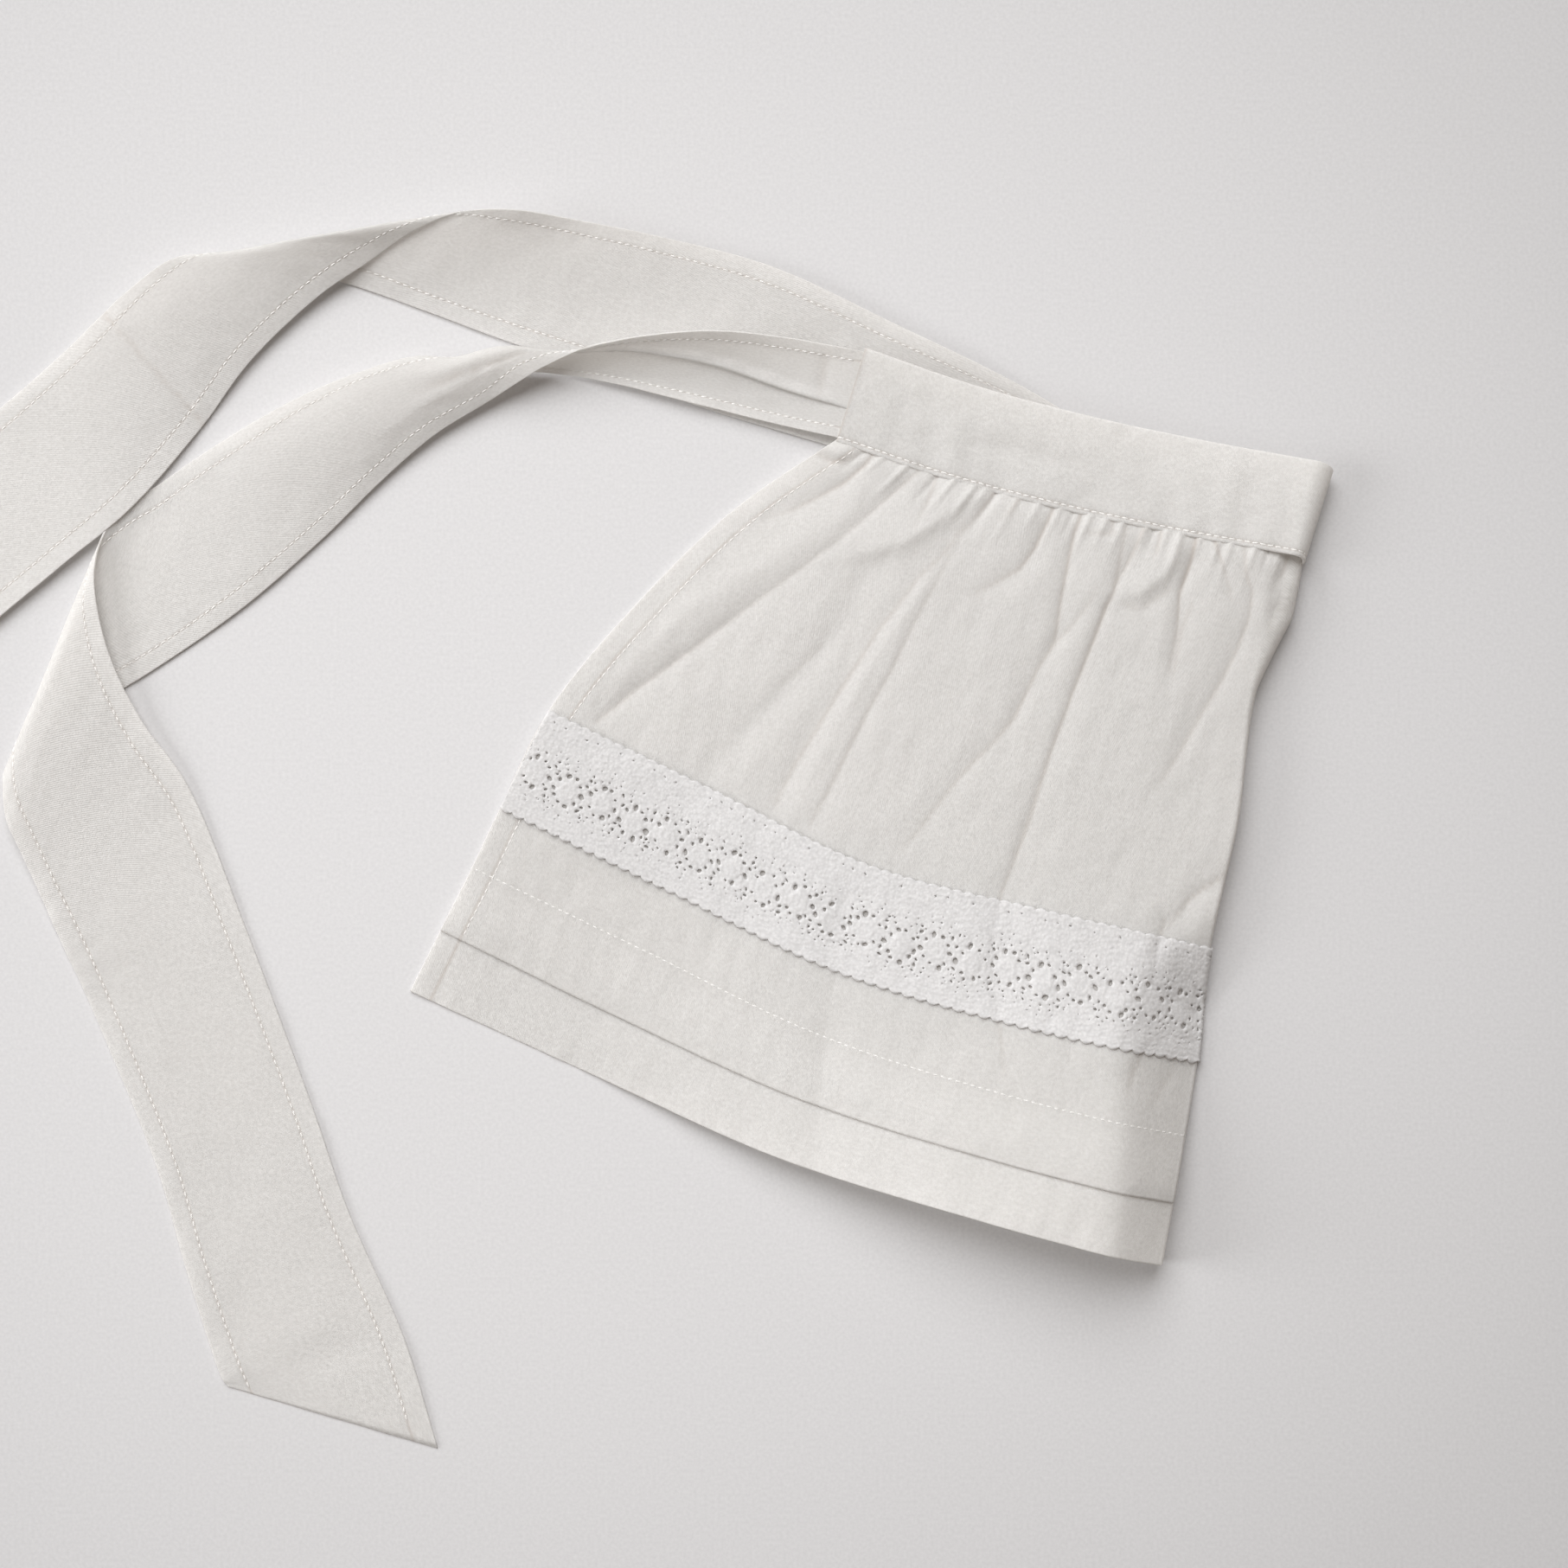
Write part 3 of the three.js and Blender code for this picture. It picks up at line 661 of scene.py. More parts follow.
band_plain = np.linspace(BAND_PLAIN_START, BAND_HEIGHT - BAND_PLAIN_END, BAND_ROWS)
band_rise = np.concatenate([BAND_LOWER_EDGE - BAND_OVERLAP, band_plain, BAND_HEIGHT - BAND_UPPER_EDGE])[::-1]
waist_stations = station_points(0.0)
waist_front = smooth_curve(waist_stations, front_shares)
waist_side = unit(waist_stations[-1, :2] - waist_stations[-2, :2])
waist_back = smooth_curve(waist_stations, np.linspace(1, 1 - BACK_SHARE_WAIST, BACK_COLUMNS))


def band_row(rise):
    share = rise / BAND_HEIGHT
    up = BAND_UP_LEFT + front_shares[:, None] * (BAND_UP_FOLD - BAND_UP_LEFT)
    front = waist_front.copy()
    front[:, :2] += up * rise
    front[:, 2] += BAND_LEAN * (1 - front_shares) * share
    front[:, 2] += fold_height(front[:, :2], BAND_DENTS)
    ripple = soft_noise(front[:, 0], front[:, 1] * RIPPLE_STRETCH, RIPPLE_SIZE, RIPPLE_SEED)
    dimple = soft_noise(front[:, 0], front[:, 1], DIMPLE_SIZE, DIMPLE_SEED)
    front[:, 2] += RIPPLE_RISE * ripple * (1 - share) + DIMPLE_RISE * dimple
    reach = FOLD_REACH[0] + (BAND_FOLD_REACH - FOLD_REACH[0]) * share
    under = BAND_HALF + LOWEST
    arc = turn_under(front, waist_side, reach, BAND_BACK_SKEW, under)
    back = waist_back.copy()
    back[:, :2] += BAND_UP_FOLD * rise + BAND_BACK_SKEW
    back[:, 2] = under
    return np.concatenate([front, arc, back])


band_grid = np.array([band_row(rise) for rise in band_rise])
band_normals = grid_normals(band_grid)
band_round = rounded(np.minimum(band_rise + BAND_OVERLAP, BAND_HEIGHT - band_rise), BAND_HALF)
band_stitched = bell(band_rise - BAND_STITCH_LINE, STITCH_GROOVE_HALF)
band_end = run_length(band_grid[BAND_END_ROW])
end_round = BAND_END_THIN + (1 - BAND_END_THIN) * smoothstep(band_end, 0, BAND_END_TAPER)
band_half = np.outer(BAND_HALF * band_round * (1 - STITCH_GROOVE * band_stitched), end_round)
band_flat = np.stack(np.meshgrid(run_length(band_grid[BAND_TOP_ROW]), band_rise), axis=-1)
# Painted shade along the stitch line, and in a thin line at the band's end where it lies over the tie
band_shade = STITCH_SHADE * np.maximum.outer(band_stitched, bell(band_end, BAND_END_SHADE_WIDTH))
band = cloth_wall("waistband_cloth", band_grid, band_normals, band_half, band_flat, band_shade,
                  np.ones(band_grid.shape[:2]))

# Ties, from the waistband to the point: one edge, the middle and the other edge
FRONT_TIE = np.array([
    [-2, 116, 3.4, -0.5, 129.5, 4.6, 1, 143, 10.5],
    [-30, 123, 3.2, -27, 134.5, 4.2, -24, 145, 12.6],
    [-58, 130, 2.6, -52, 137, 5.4, -46, 143, 13.0],
    [-77, 133, 1.6, -70, 137.5, 7.4, -63, 139.5, 12.4],
    [-97, 134, 2.0, -92, 140, 9.6, -79, 132.5, 9.8],
    [-116, 137.5, 7.2, -106, 132, 8.8, -95, 123.5, 4.6],
    [-136, 132.5, 7.5, -125, 124, 7.8, -113, 112.5, 3.2],
    [-156, 124.5, 6.1, -143, 112, 6.3, -130, 98, 2.1],
    [-175, 114.5, 3.5, -162, 97.5, 4.0, -149, 79.5, 1.2],
    [-192, 104, 1.4, -183.5, 81, 2.2, -175, 57, 0.9],
    [-202, 97, 0.8, -202.5, 67, 1.0, -203, 37.5, 0.8],
    [-210, 92, 1.2, -221.5, 55.5, 1.0, -233, 19, 0.8],
    [-218, 84, 2.8, -235, 44, 2.5, -252, 4, 2.2],
    [-222, 70, 5.2, -237, 35, 4.4, -252, 0, 3.6],
    [-221, 56, 5.6, -236, 22.5, 4.6, -251, -11, 3.6],
    [-216, 38, 4.8, -231, 7.5, 3.7, -246, -23, 2.6],
    [-207, 20, 3.0, -223.5, -8.5, 2.2, -240, -37, 1.5],
    [-193, 0, 1.6, -213, -26.5, 1.2, -233, -53, 0.9],
    [-174, -47, 0.6, -200, -57.5, 0.6, -226, -68, 0.6],
    [-152, -106, 0.6, -177.5, -115, 0.6, -203, -124, 0.6],
    [-141, -138, 0.6, -167.5, -146.5, 0.6, -194, -155, 0.6],
    [-123, -179, 0.6, -152.5, -185.5, 0.6, -182, -192, 0.6],
    [-112, -215, 0.6, -146, -205, 0.6, -180, -195, 0.6],
])
BACK_TIE = np.array([
    [62, 94, 0.7, 69, 111.5, 1.8, 76, 129, 2.5],
    [16, 109, 0.7, 27, 128.5, 1.6, 37, 148, 3.0],
    [-24, 121, 0.7, -14, 144.5, 1.8, -4, 167, 3.6],
    [-58, 133, 0.7, -48, 155.5, 1.9, -38, 176, 4.6],
    [-89, 143, 0.7, -77, 164, 2.8, -65, 181, 7.4],
    [-116, 153, 0.7, -103, 171, 5.0, -88, 184, 11.5],
    [-142, 162, 0.7, -122, 177, 8.0, -104, 183, 11.0],
    [-161, 166, 1.4, -141, 176.5, 11.0, -118, 178, 10.0],
    [-178, 168.5, 4.6, -158, 173.5, 10.4, -134, 168, 5.4],
    [-194, 169, 10.0, -173, 165.5, 8.8, -150, 157.5, 3.6],
    [-212, 157.5, 7.8, -192, 149, 6.6, -172, 137, 2.2],
    [-230, 141.5, 3.5, -211, 127, 3.8, -189, 114.5, 1.5],
    [-248, 126, 1.2, -230, 108.5, 2.4, -212, 88, 2.6],
    [-268, 110, 0.7, -251.5, 89.5, 1.8, -235, 69, 3.0],
    [-296, 87, 0.6, -279, 66.5, 1.4, -262, 46, 2.0],
    [-324, 61, 0.6, -303, 42.5, 0.6, -282, 24, 0.6],
    [-346, 30, 0.6, -322, 15.5, 0.6, -298, 1, 0.6],
    [-361, -2, 0.6, -336, -13.5, 0.6, -311, -25, 0.6],
    [-367, -16, 0.6, -345.5, -36.5, 0.6, -324, -57, 0.6],
])
TIE_FOLDS = [
    (1.4, 2.5, 1.0, [(957, 402, -0.3), (954, 415, -0.8), (950, 435, -0.8), (946, 456, -0.3)]),
    (1.6, 1.6, 1.4, [(966, 398, 0.9), (962, 410, 0.3)]),
    (1.6, 1.6, 1.4, [(982, 399, 0.9), (979, 411, 0.3)]),
    (2.0, 2.0, 1.4, [(600, 404, 0.3), (560, 415, 0.9), (520, 428, 0.9), (484, 440, 0.2)]),
    (1.6, 1.6, 1.2, [(606, 410, -0.3), (566, 422, -0.8), (524, 436, -0.8), (478, 458, -0.2)]),
    (2.5, 2.5, 1.4, [(600, 416, 0.3), (540, 438, 0.8), (488, 466, 0.6), (440, 500, 0.2)]),
    (2.5, 6.0, 1.0, [(118, 362, -1.1), (134, 378, -0.8), (170, 420, -0.6), (212, 466, -0.8),
        (236, 494, -1.2)]),
    (1.5, 1.5, 1.4, [(222, 470, 0.7), (232, 486, 0.9), (238, 497, 0.7)]),
    (1.5, 1.5, 1.4, [(133, 362, 0.5), (142, 376, 0.5)]),
    (7.0, 5.0, 1.6, [(300, 1597, -0.1), (345, 1580, -0.5), (400, 1560, -0.5), (440, 1545, -0.1)]),
]
TIE_STOPS = 340
TIE_TUCKED_IN = 1.5
TIE_ROUGH = [(0.12, 40.0), (0.045, 9.0)]
TIE_ROUGH_START = 30.0

# The pleat at the start of the front tie: length along, share across of its edge, and how much of it is left
PLEAT_LENGTHS = [0, 23, 42, 63, 81, 120, 600]
PLEAT_SHARES = [0.33, 0.42, 0.53, 0.61, 0.7, 0.72, 0.72]
PLEAT_LEFT = [1, 1, 1, 0.8, 0.35, 0.0, 0.0]
PLEAT_UNDER = 4.0
PLEAT_LIFT = 1.2
PLEAT_FLAT = 0.25
PLEAT_RISE = 14.0
PLEAT_FADE = 9.0
PLEAT_SPACING = 0.12
PLEAT_STEPS = [0.5, 1.0, 1.06, 1.0, 0.05, -0.04, -0.07, -0.04, 0.05, 0.25]
PLEAT_STEP_LIFTS = np.array([0.0, 0.0, 0.25, 0.5, 0.5, 0.6, 0.75, 0.9, 1.0, 1.0])

# Places across a tie: from the edge over the hem and its stitch line, then plain cloth beside the pleat
TIE_EDGE = [0, 0.06, 0.2, 0.5, 1.5, 3.2]
TIE_HEM_LINE = TIE_HEM + np.array([-2.2, -1.5, -1.2, -0.9, -0.6, -0.3, 0.0, 0.4, 1.0])
HEM_MARGIN = 2.0
PLEAT_MARGIN_LOW = 1.0
PLEAT_MARGIN_HIGH = 2.6
LOWER_PLACES = 8
UPPER_PLACES = 14
hem_places = np.concatenate([TIE_EDGE, TIE_HEM_LINE])


def between_places(start, end, count):
    return [start * (1 - share) + end * share for share in np.linspace(0, 1, count)]


def tie_places(length, pleated):
    """Places across a tie and the lift there, a row for each place and a column for each length."""
    ones = np.ones(len(length))
    edge = np.interp(length, PLEAT_LENGTHS, PLEAT_SHARES) * TIE_WIDTH
    left = np.interp(length, PLEAT_LENGTHS, PLEAT_LEFT) if pleated else 0 * ones
    raised = PLEAT_LIFT * left * (PLEAT_FLAT + (1 - PLEAT_FLAT) * smoothstep(length, 0, PLEAT_RISE))
    lower = between_places(TIE_HEM + HEM_MARGIN, edge - PLEAT_MARGIN_LOW, LOWER_PLACES)
    upper = between_places(edge + PLEAT_MARGIN_HIGH, TIE_WIDTH - TIE_HEM - HEM_MARGIN, UPPER_PLACES)
    pleat = [edge + PLEAT_SPACING * k + left * PLEAT_UNDER * step for k, step in enumerate(PLEAT_STEPS)]
    near = [place * ones for place in hem_places]
    far = [(TIE_WIDTH - place) * ones for place in hem_places[::-1]]
    places = np.array(near + lower + pleat + upper + far)
    lifts = raised * (1 - smoothstep(places - edge, 0, PLEAT_FADE))
    first = len(near) + len(lower)
    lifts[:first] = 0
    lifts[first:first + len(pleat)] = np.outer(PLEAT_STEP_LIFTS, raised)
    return places, lifts


def tie_grid(start_low, start_high, sections, seed, pleated):
    """Points of a tie, a row for each place across it, with those places and the length along."""
    starts = (start_low, (start_low + start_high) / 2, start_high)
    lines = [np.concatenate([[start], sections[:, 3 * k:3 * k + 3]]) for k, start in enumerate(starts)]
    low, middle, high = (smooth_curve(line, np.linspace(0, 1, TIE_STOPS)) for line in lines)
    length = run_length(middle)
    places, lifts = tie_places(length, pleated)
    outward = unit(np.cross(high - low, np.gradient(middle, axis=0)))
    across = (places / TIE_WIDTH)[..., None]
    grid = low * (1 - across) * (1 - 2 * across) + middle * 4 * across * (1 - across)
    grid += high * across * (2 * across - 1)
    rough = sum(rise * soft_noise(length, places, size, seed + k) for k, (rise, size) in enumerate(TIE_ROUGH))
    rough = rough * smoothstep(length, 0, TIE_ROUGH_START)
    grid += (lifts + rough)[..., None] * outward
    grid[..., 2] += fold_height(grid[..., :2], TIE_FOLDS)
    grid[..., 2] = np.maximum(grid[..., 2], HEMMED + LOWEST)
    return grid, places, length


def make_tie(name, column, sections, seed, pleated):
    inside = np.array([TIE_TUCKED_IN, 0, 0])
    starts = [band_grid[row, column] + inside for row in (BAND_FOOT_ROW, BAND_TOP_ROW)]
    grid, places, length = tie_grid(*starts, sections, seed, pleated)
    normals = grid_normals(grid)
    from_edge = np.minimum(places, TIE_WIDTH - places)
    half = hem_half(from_edge, TIE_HEM) * rounded(length[-1] - length, HEMMED)
    flat = np.stack([np.broadcast_to(length, places.shape), places], axis=-1)
    hemmed = from_edge < TIE_HEM
    shade = HEM_SHADE * hemmed + crease_shade(grid[..., :2], TIE_FOLDS)
    shade += STITCH_SHADE * bell(from_edge - TIE_HEM + STITCH_INSET, STITCH_GROOVE_HALF)
    return cloth_wall(name, grid, normals, half, flat, shade, 1.0 * hemmed), grid, normals


last_column = band_grid.shape[1] - 1
front_tie, front_grid, front_normals = make_tie("front_tie_cloth", 0, FRONT_TIE, seed=21, pleated=True)
back_tie, back_grid, back_normals = make_tie("back_tie_cloth", last_column, BACK_TIE, seed=31, pleated=False)

# Lace: flat pattern along (s) and across (t), with real holes, then laid on the skirt
LACE_WIDTH = 38.0
PICOT = 4.1
PICOT_DEEP = 1.1
PICOT_POINTED = 0.8
UPPER_PICOT_DEEP = 0.7
OUTLINE_STEP = PICOT / 8
MOTIF = 11.8
MOTIF_MIDDLE = 20.9
MOTIF_SWAY = 0.7
LACE_GRAIN = 0.62
HIDDEN_GRAIN = 1.8
GRAIN_ROW = 0.87
GRAIN_JITTER = 0.1
FILL_INSET = 0.6
FILL_TOP = 0.9
FILL_END = 1.2
EDGE_CLEAR = 0.3
EDGE_NEAR = 0.02
RIM_SLOPE = 0.35

# Holes of the lace: a diamond ring round each island, joins between rings, fans of spokes, slits at the top
HOLE_SIDES = 9
HOLE_CLEAR = 0.2
HOLE_RAGGED = (0.75, 1.0)
HOLES_INSET = 2.0
RING_ALONG = 5.0
RING_ACROSS = 5.6
RING_HOLES = 10
RING_POLES = (0, 2, 5, 7)
RING_SQUARE = 1.4
RING_TURN_JITTER = 0.15
RING_REACH_JITTER = 0.05
RING_SLANT = (0.8, 0.5)
POLE_SIZE = (0.95, 1.3)
RING_SIZE = (0.5, 0.85)
RING_SLIM = (0.55, 0.9)
JOINS = [(3.4, 0.75), (5.4, 0.8), (7.2, 0.55)]
JOIN_JITTER_ALONG = 0.5
JOIN_JITTER_ACROSS = 0.3
JOIN_LONG = (0.75, 1.1)
JOIN_SLIM = (0.4, 0.7)
SPOKES = range(-2, 3)
SPOKE_HOLES = 3
SPOKE_MISSING = 0.35
SPOKE_TURN = 0.42
SPOKE_JITTER = 0.05
SPOKE_START = 1.6
SPOKE_STEP = 1.7
SPOKE_SIZE = (0.16, 0.4)
SPOKE_SHRINK = 0.2
SPOKE_SLIM = 0.7
SLIT_PLACE = 3.2
SLIT_SHARE = 0.65
SLIT_JITTER = 0.25
SLIT_LONG = (0.25, 0.5)
SLIT_WIDE = (0.12, 0.2)
SLIT_SLANT = (0.3, 0.3)

# Relief of the lace: islands in the rings, ribs round them, a corded lower edge and crumbled threads
ISLAND_RISE = 0.12
ISLAND_REACH = (2.0, 4.0)
RIB_RISE = 0.06
RIB_PITCH = 1.9
CORD_RISE = 0.12
CORD_REACH = (0.3, 1.3)
CRUMB_RISE = 0.045

lace_row = int(round(float(row_at((LACE_TOP + LACE_FOOT) / 2))))
lace_along = run_length(skirt_grid[lace_row])
lace_length = float(lace_along[-1])
lace_seen = float(lace_along[first_fold + FOLD_COLUMNS])


def picot(s, deep):
    return deep * np.abs(np.sin(math.pi * s / PICOT)) ** PICOT_POINTED


def upper_edge(s):
    return UPPER_PICOT_DEEP - picot(s, UPPER_PICOT_DEEP)


def lower_edge(s):
    return LACE_WIDTH - PICOT_DEEP + picot(s, PICOT_DEEP)


def ring_holes(s, t):
    """The diamond of holes round an island."""
    for step in range(RING_HOLES):
        turn = 2 * math.pi * (step + rng.normal(0, RING_TURN_JITTER)) / RING_HOLES
        long_half = rng.uniform(*(POLE_SIZE if step in RING_POLES else RING_SIZE))
        short_half = long_half * rng.uniform(*RING_SLIM)
        x = math.cos(turn)
        y = math.sin(turn)
        reach = (abs(x) ** RING_SQUARE + abs(y) ** RING_SQUARE) ** (-1 / RING_SQUARE)
        reach *= rng.normal(1.0, RING_REACH_JITTER)
        yield (s + RING_ALONG * reach * x, t + RING_ACROSS * reach * y, long_half, short_half,
               turn + rng.normal(*RING_SLANT))


def join_holes(s, side):
    """Holes between this ring and the next, on one side of the middle."""
    for away, size in JOINS:
        yield (s + MOTIF / 2 + rng.normal(0, JOIN_JITTER_ALONG),
               MOTIF_MIDDLE + side * away + rng.normal(0, JOIN_JITTER_ACROSS),
               size * rng.uniform(*JOIN_LONG), size * rng.uniform(*JOIN_SLIM), rng.uniform(0, math.pi))


def spoke_holes(s, t, side):
    """Small holes that fan out from a ring, on one side of the middle."""
    for spoke in SPOKES:
        for place in range(SPOKE_HOLES):
            if rng.uniform() < SPOKE_MISSING:
                continue
            turn = SPOKE_TURN * spoke + rng.normal(0, SPOKE_JITTER)
            reach = SPOKE_START + SPOKE_STEP * place
            size = rng.uniform(*SPOKE_SIZE) * (1 - SPOKE_SHRINK * place)
            yield (s + (RING_ALONG + reach) * math.sin(turn),
                   t + side * (RING_ACROSS + reach) * math.cos(turn), size, size * SPOKE_SLIM, turn)


def lace_holes():
    """Centre along, centre across, half length, half width and slant of each hole, the large ones first."""
    holes = []
    for period in range(int(lace_length // MOTIF)):
        s = (period + 0.5) * MOTIF
        t = MOTIF_MIDDLE + MOTIF_SWAY * (1 if period % 2 else -1)
        holes += ring_holes(s, t)
        for side in (-1, 1):
            holes += join_holes(s, side)
            holes += spoke_holes(s, t, side)
    for index in range(1, int(lace_length // PICOT)):
        if rng.uniform() < SLIT_SHARE:
            holes.append((index * PICOT + rng.normal(0, SLIT_JITTER), SLIT_PLACE + rng.normal(0, SLIT_JITTER),
                          rng.uniform(*SLIT_LONG), rng.uniform(*SLIT_WIDE), rng.normal(*SLIT_SLANT)))
    chosen = []
    for hole in sorted(holes, key=lambda hole: -hole[2]):
        clear = all(math.hypot(hole[0] - other[0], hole[1] - other[1]) > hole[2] + other[2] + HOLE_CLEAR
                    for other in chosen)
        if clear and HOLES_INSET < hole[0] < lace_length - HOLES_INSET:
            chosen.append(hole)
    return chosen


def lace_outline():
    s = np.arange(0, lace_length, OUTLINE_STEP)
    upper = np.stack([s, upper_edge(s)], axis=1)
    lower = np.stack([s, lower_edge(s)], axis=1)[::-1]
    return np.concatenate([upper, lower])


def lace_fill():
    """Points of the cloth between the holes, fewer where the lace lies underneath."""
    points = []
    seen = (FILL_INSET, lace_seen, LACE_GRAIN)
    hidden = (lace_seen, lace_length - FILL_END, HIDDEN_GRAIN)
    for start, end, grain in (seen, hidden):
        for index, t in enumerate(np.arange(FILL_TOP, LACE_WIDTH - FILL_INSET, grain * GRAIN_ROW)):
            s = np.arange(start + grain * (index % 2) / 2, end, grain)
            points.append(np.stack([s, np.full(len(s), t)], axis=1))
    points = np.concatenate(points)
    points += rng.normal(0, GRAIN_JITTER, points.shape)
    s, t = points.T
    keep = (t > upper_edge(s) + EDGE_CLEAR) & (t < lower_edge(s) - EDGE_CLEAR)
    for hole_s, hole_t, long_half, _, _ in holes:
        keep &= np.hypot(s - hole_s, t - hole_t) > long_half + HOLE_CLEAR
    return points[keep]


def hole_loop(hole):
    s, t, long_half, short_half, slant = hole
    turn = np.linspace(0, 2 * math.pi, HOLE_SIDES, endpoint=False)
    ragged = rng.uniform(*HOLE_RAGGED, HOLE_SIDES)
    x = long_half * ragged * np.cos(turn)
    y = short_half * ragged * np.sin(turn)
    return np.stack([s + x * math.cos(slant) - y * math.sin(slant),
                     t + x * math.sin(slant) + y * math.cos(slant)], axis=1)


def ring(start, count):
    return [(start + index, start + (index + 1) % count) for index in range(count)]


# The pattern cut into triangles, without those outside the edges or inside a hole
holes = lace_holes()
outline = lace_outline()
pattern = [outline]
edges = ring(0, len(outline))
owner = [-1] * len(outline)
for number, hole in enumerate(holes):
    edges += ring(len(owner), HOLE_SIDES)
    pattern.append(hole_loop(hole))
    owner += [number] * HOLE_SIDES
pattern.append(lace_fill())
owner += [-1] * len(pattern[-1])
lace_points, _, lace_faces, given, *_ = delaunay_2d_cdt(np.concatenate(pattern).tolist(), edges, [], 0, 1e-5)
lace_points = np.array([tuple(p) for p in lace_points])
lace_faces = np.array(lace_faces)
lace_owner = np.array([owner[source[0]] if source else -1 for source in given])
middle_s, middle_t = lace_points[lace_faces].mean(axis=1).T
first, second, third = lace_owner[lace_faces].T
in_hole = (first >= 0) & (first == second) & (first == third)
within = (middle_t > upper_edge(middle_s)) & (middle_t < lower_edge(middle_s))
lace_faces = lace_faces[within & ~in_hole]

s, t = lace_points.T
to_lower = lower_edge(s) - t
periods = np.floor(s / MOTIF)
from_island = np.hypot((s / MOTIF - periods - 0.5) * MOTIF,
                       t - MOTIF_MIDDLE - MOTIF_SWAY * np.where(periods % 2 > 0, 1, -1))
relief = LACE_HEIGHT + ISLAND_RISE * (1 - smoothstep(from_island, *ISLAND_REACH))
relief += RIB_RISE * np.sin(2 * math.pi * from_island / RIB_PITCH)
relief += CORD_RISE * (1 - smoothstep(to_lower, *CORD_REACH))
relief += rng.normal(0, CRUMB_RISE, len(lace_points))

# The strip laid on the skirt, with walls round its edge and holes; the lower edge slopes out to its foot
at_lower = (lace_owner < 0) & (to_lower < EDGE_NEAR)
at_upper = (lace_owner < 0) & (t - upper_edge(s) < EDGE_NEAR)
foot_points = lace_points + np.outer(at_lower, [0, RIM_SLOPE])


def laid(points, rise):
    column = np.interp(points[:, 0], lace_along, np.arange(len(lace_along)))
    row = row_at(LACE_TOP + (LACE_FOOT - LACE_TOP) * points[:, 1] / LACE_WIDTH)
    ground, outward, half = on_skirt(column, row)
    return ground + outward * (half + LACE_SEAT + rise)[:, None]


pairs = np.concatenate([lace_faces[:, [0, 1]], lace_faces[:, [1, 2]], lace_faces[:, [2, 0]]])
_, index, uses = np.unique(np.sort(pairs, axis=1), axis=0, return_inverse=True, return_counts=True)
rim = pairs[uses[index.ravel()] == 1]
total = len(lace_points)
walls = np.stack([rim[:, 0], rim[:, 1], rim[:, 1] + total, rim[:, 0] + total], axis=1)
used = np.unique(np.concatenate([lace_faces.ravel(), lace_faces.ravel() + total]))
renumber = np.full(2 * total, -1)
renumber[used] = np.arange(len(used))
lace_mesh_faces = renumber[lace_faces[:, ::-1]].tolist() + renumber[lace_faces + total].tolist()
lace_mesh_faces += renumber[walls].tolist()
lace_both = np.concatenate([laid(lace_points, relief), laid(foot_points, np.zeros(total))])[used]
lace_both[:, 2] = np.maximum(lace_both[:, 2], LOWEST)
lace_flat = np.concatenate([lace_points, foot_points])[used]
lace_shade = np.concatenate([np.zeros(total), np.where(at_upper, 0.0, HOLE_SHADE)])[used]
lace = make_mesh("lace_strip", lace_both, lace_mesh_faces, lace_flat, lacing, shade=lace_shade)

# Stitches: small rounded bars of thread along a line, with a point at each end and rings between
BAR_PLACES = np.array([-0.92, -0.6, 0.0, 0.6, 0.92])
BAR_SWELL = np.array([0.5, 0.9, 1.0, 0.9, 0.5])
BAR_SIDES = 6
BAR_POINTS = BAR_SIDES * len(BAR_PLACES) + 2
BAR_REACH = 0.6
BAR_WANDER = 0.05
SIDE_STITCH_INSET = 0.4
SIDE_STITCH_END = 0.01
SIDE_SAMPLES = 200
TUCK_SAMPLES = 300
TUCK_FIRST_COLUMN = 3
TIE_STITCHED = slice(2, -3)


def bar_faces():
    faces = []
    last_ring = BAR_POINTS - 1 - BAR_SIDES
    for side in range(BAR_SIDES):
        after = (side + 1) % BAR_SIDES
        faces.append((0, 1 + after, 1 + side))
        faces.append((BAR_POINTS - 1, last_ring + side, last_ring + after))
        for start in range(1, last_ring, BAR_SIDES):
            faces.append((start + side, start + after, start + BAR_SIDES + after, start + BAR_SIDES + side))
    return faces


def along_line(places, along, values):
    return np.stack([np.interp(places, along, values[:, k]) for k in range(3)], axis=1)


def stitch_bars(name, line, normals, proud):
    """Bars of thread at the sewing pitch along a line with outward directions; proud is their half height."""
    along = run_length(line)
    middles = np.arange(STITCH_PITCH / 2, along[-1], STITCH_PITCH)
    sample = along_line(middles, along, line)
    up = unit(along_line(middles, along, normals))
    way = unit(along_line(middles + BAR_REACH, along, line) - along_line(middles - BAR_REACH, along, line))
    aside = unit(np.cross(up, way))
    way = unit(way + aside * rng.normal(0, BAR_WANDER, (len(way), 1)))
    turns = np.linspace(0, 2 * math.pi, BAR_SIDES, endpoint=False)
    x = np.concatenate([[-1], np.repeat(BAR_PLACES, BAR_SIDES), [1]]) * STITCH_LENGTH / 2
    y = np.concatenate([[0], np.outer(BAR_SWELL, np.cos(turns)).ravel(), [0]]) * STITCH_HALF_WIDTH
    z = np.concatenate([[0], np.outer(BAR_SWELL, np.sin(turns)).ravel(), [0]]) * proud
    points = (sample[:, None] + x[None, :, None] * way[:, None] + y[None, :, None] * aside[:, None]
              + z[None, :, None] * up[:, None])
    points[..., 2] = np.maximum(points[..., 2], LOWEST)
    faces = [tuple(corner + BAR_POINTS * bar for corner in face)
             for bar in range(len(sample)) for face in bar_faces()]
    flat_along = np.tile(x, len(sample)) + np.repeat(middles, BAR_POINTS)
    flat = np.stack([flat_along, np.tile(y, len(sample))], axis=1)
    return make_mesh(name, points.reshape(-1, 3), faces, flat, thread)


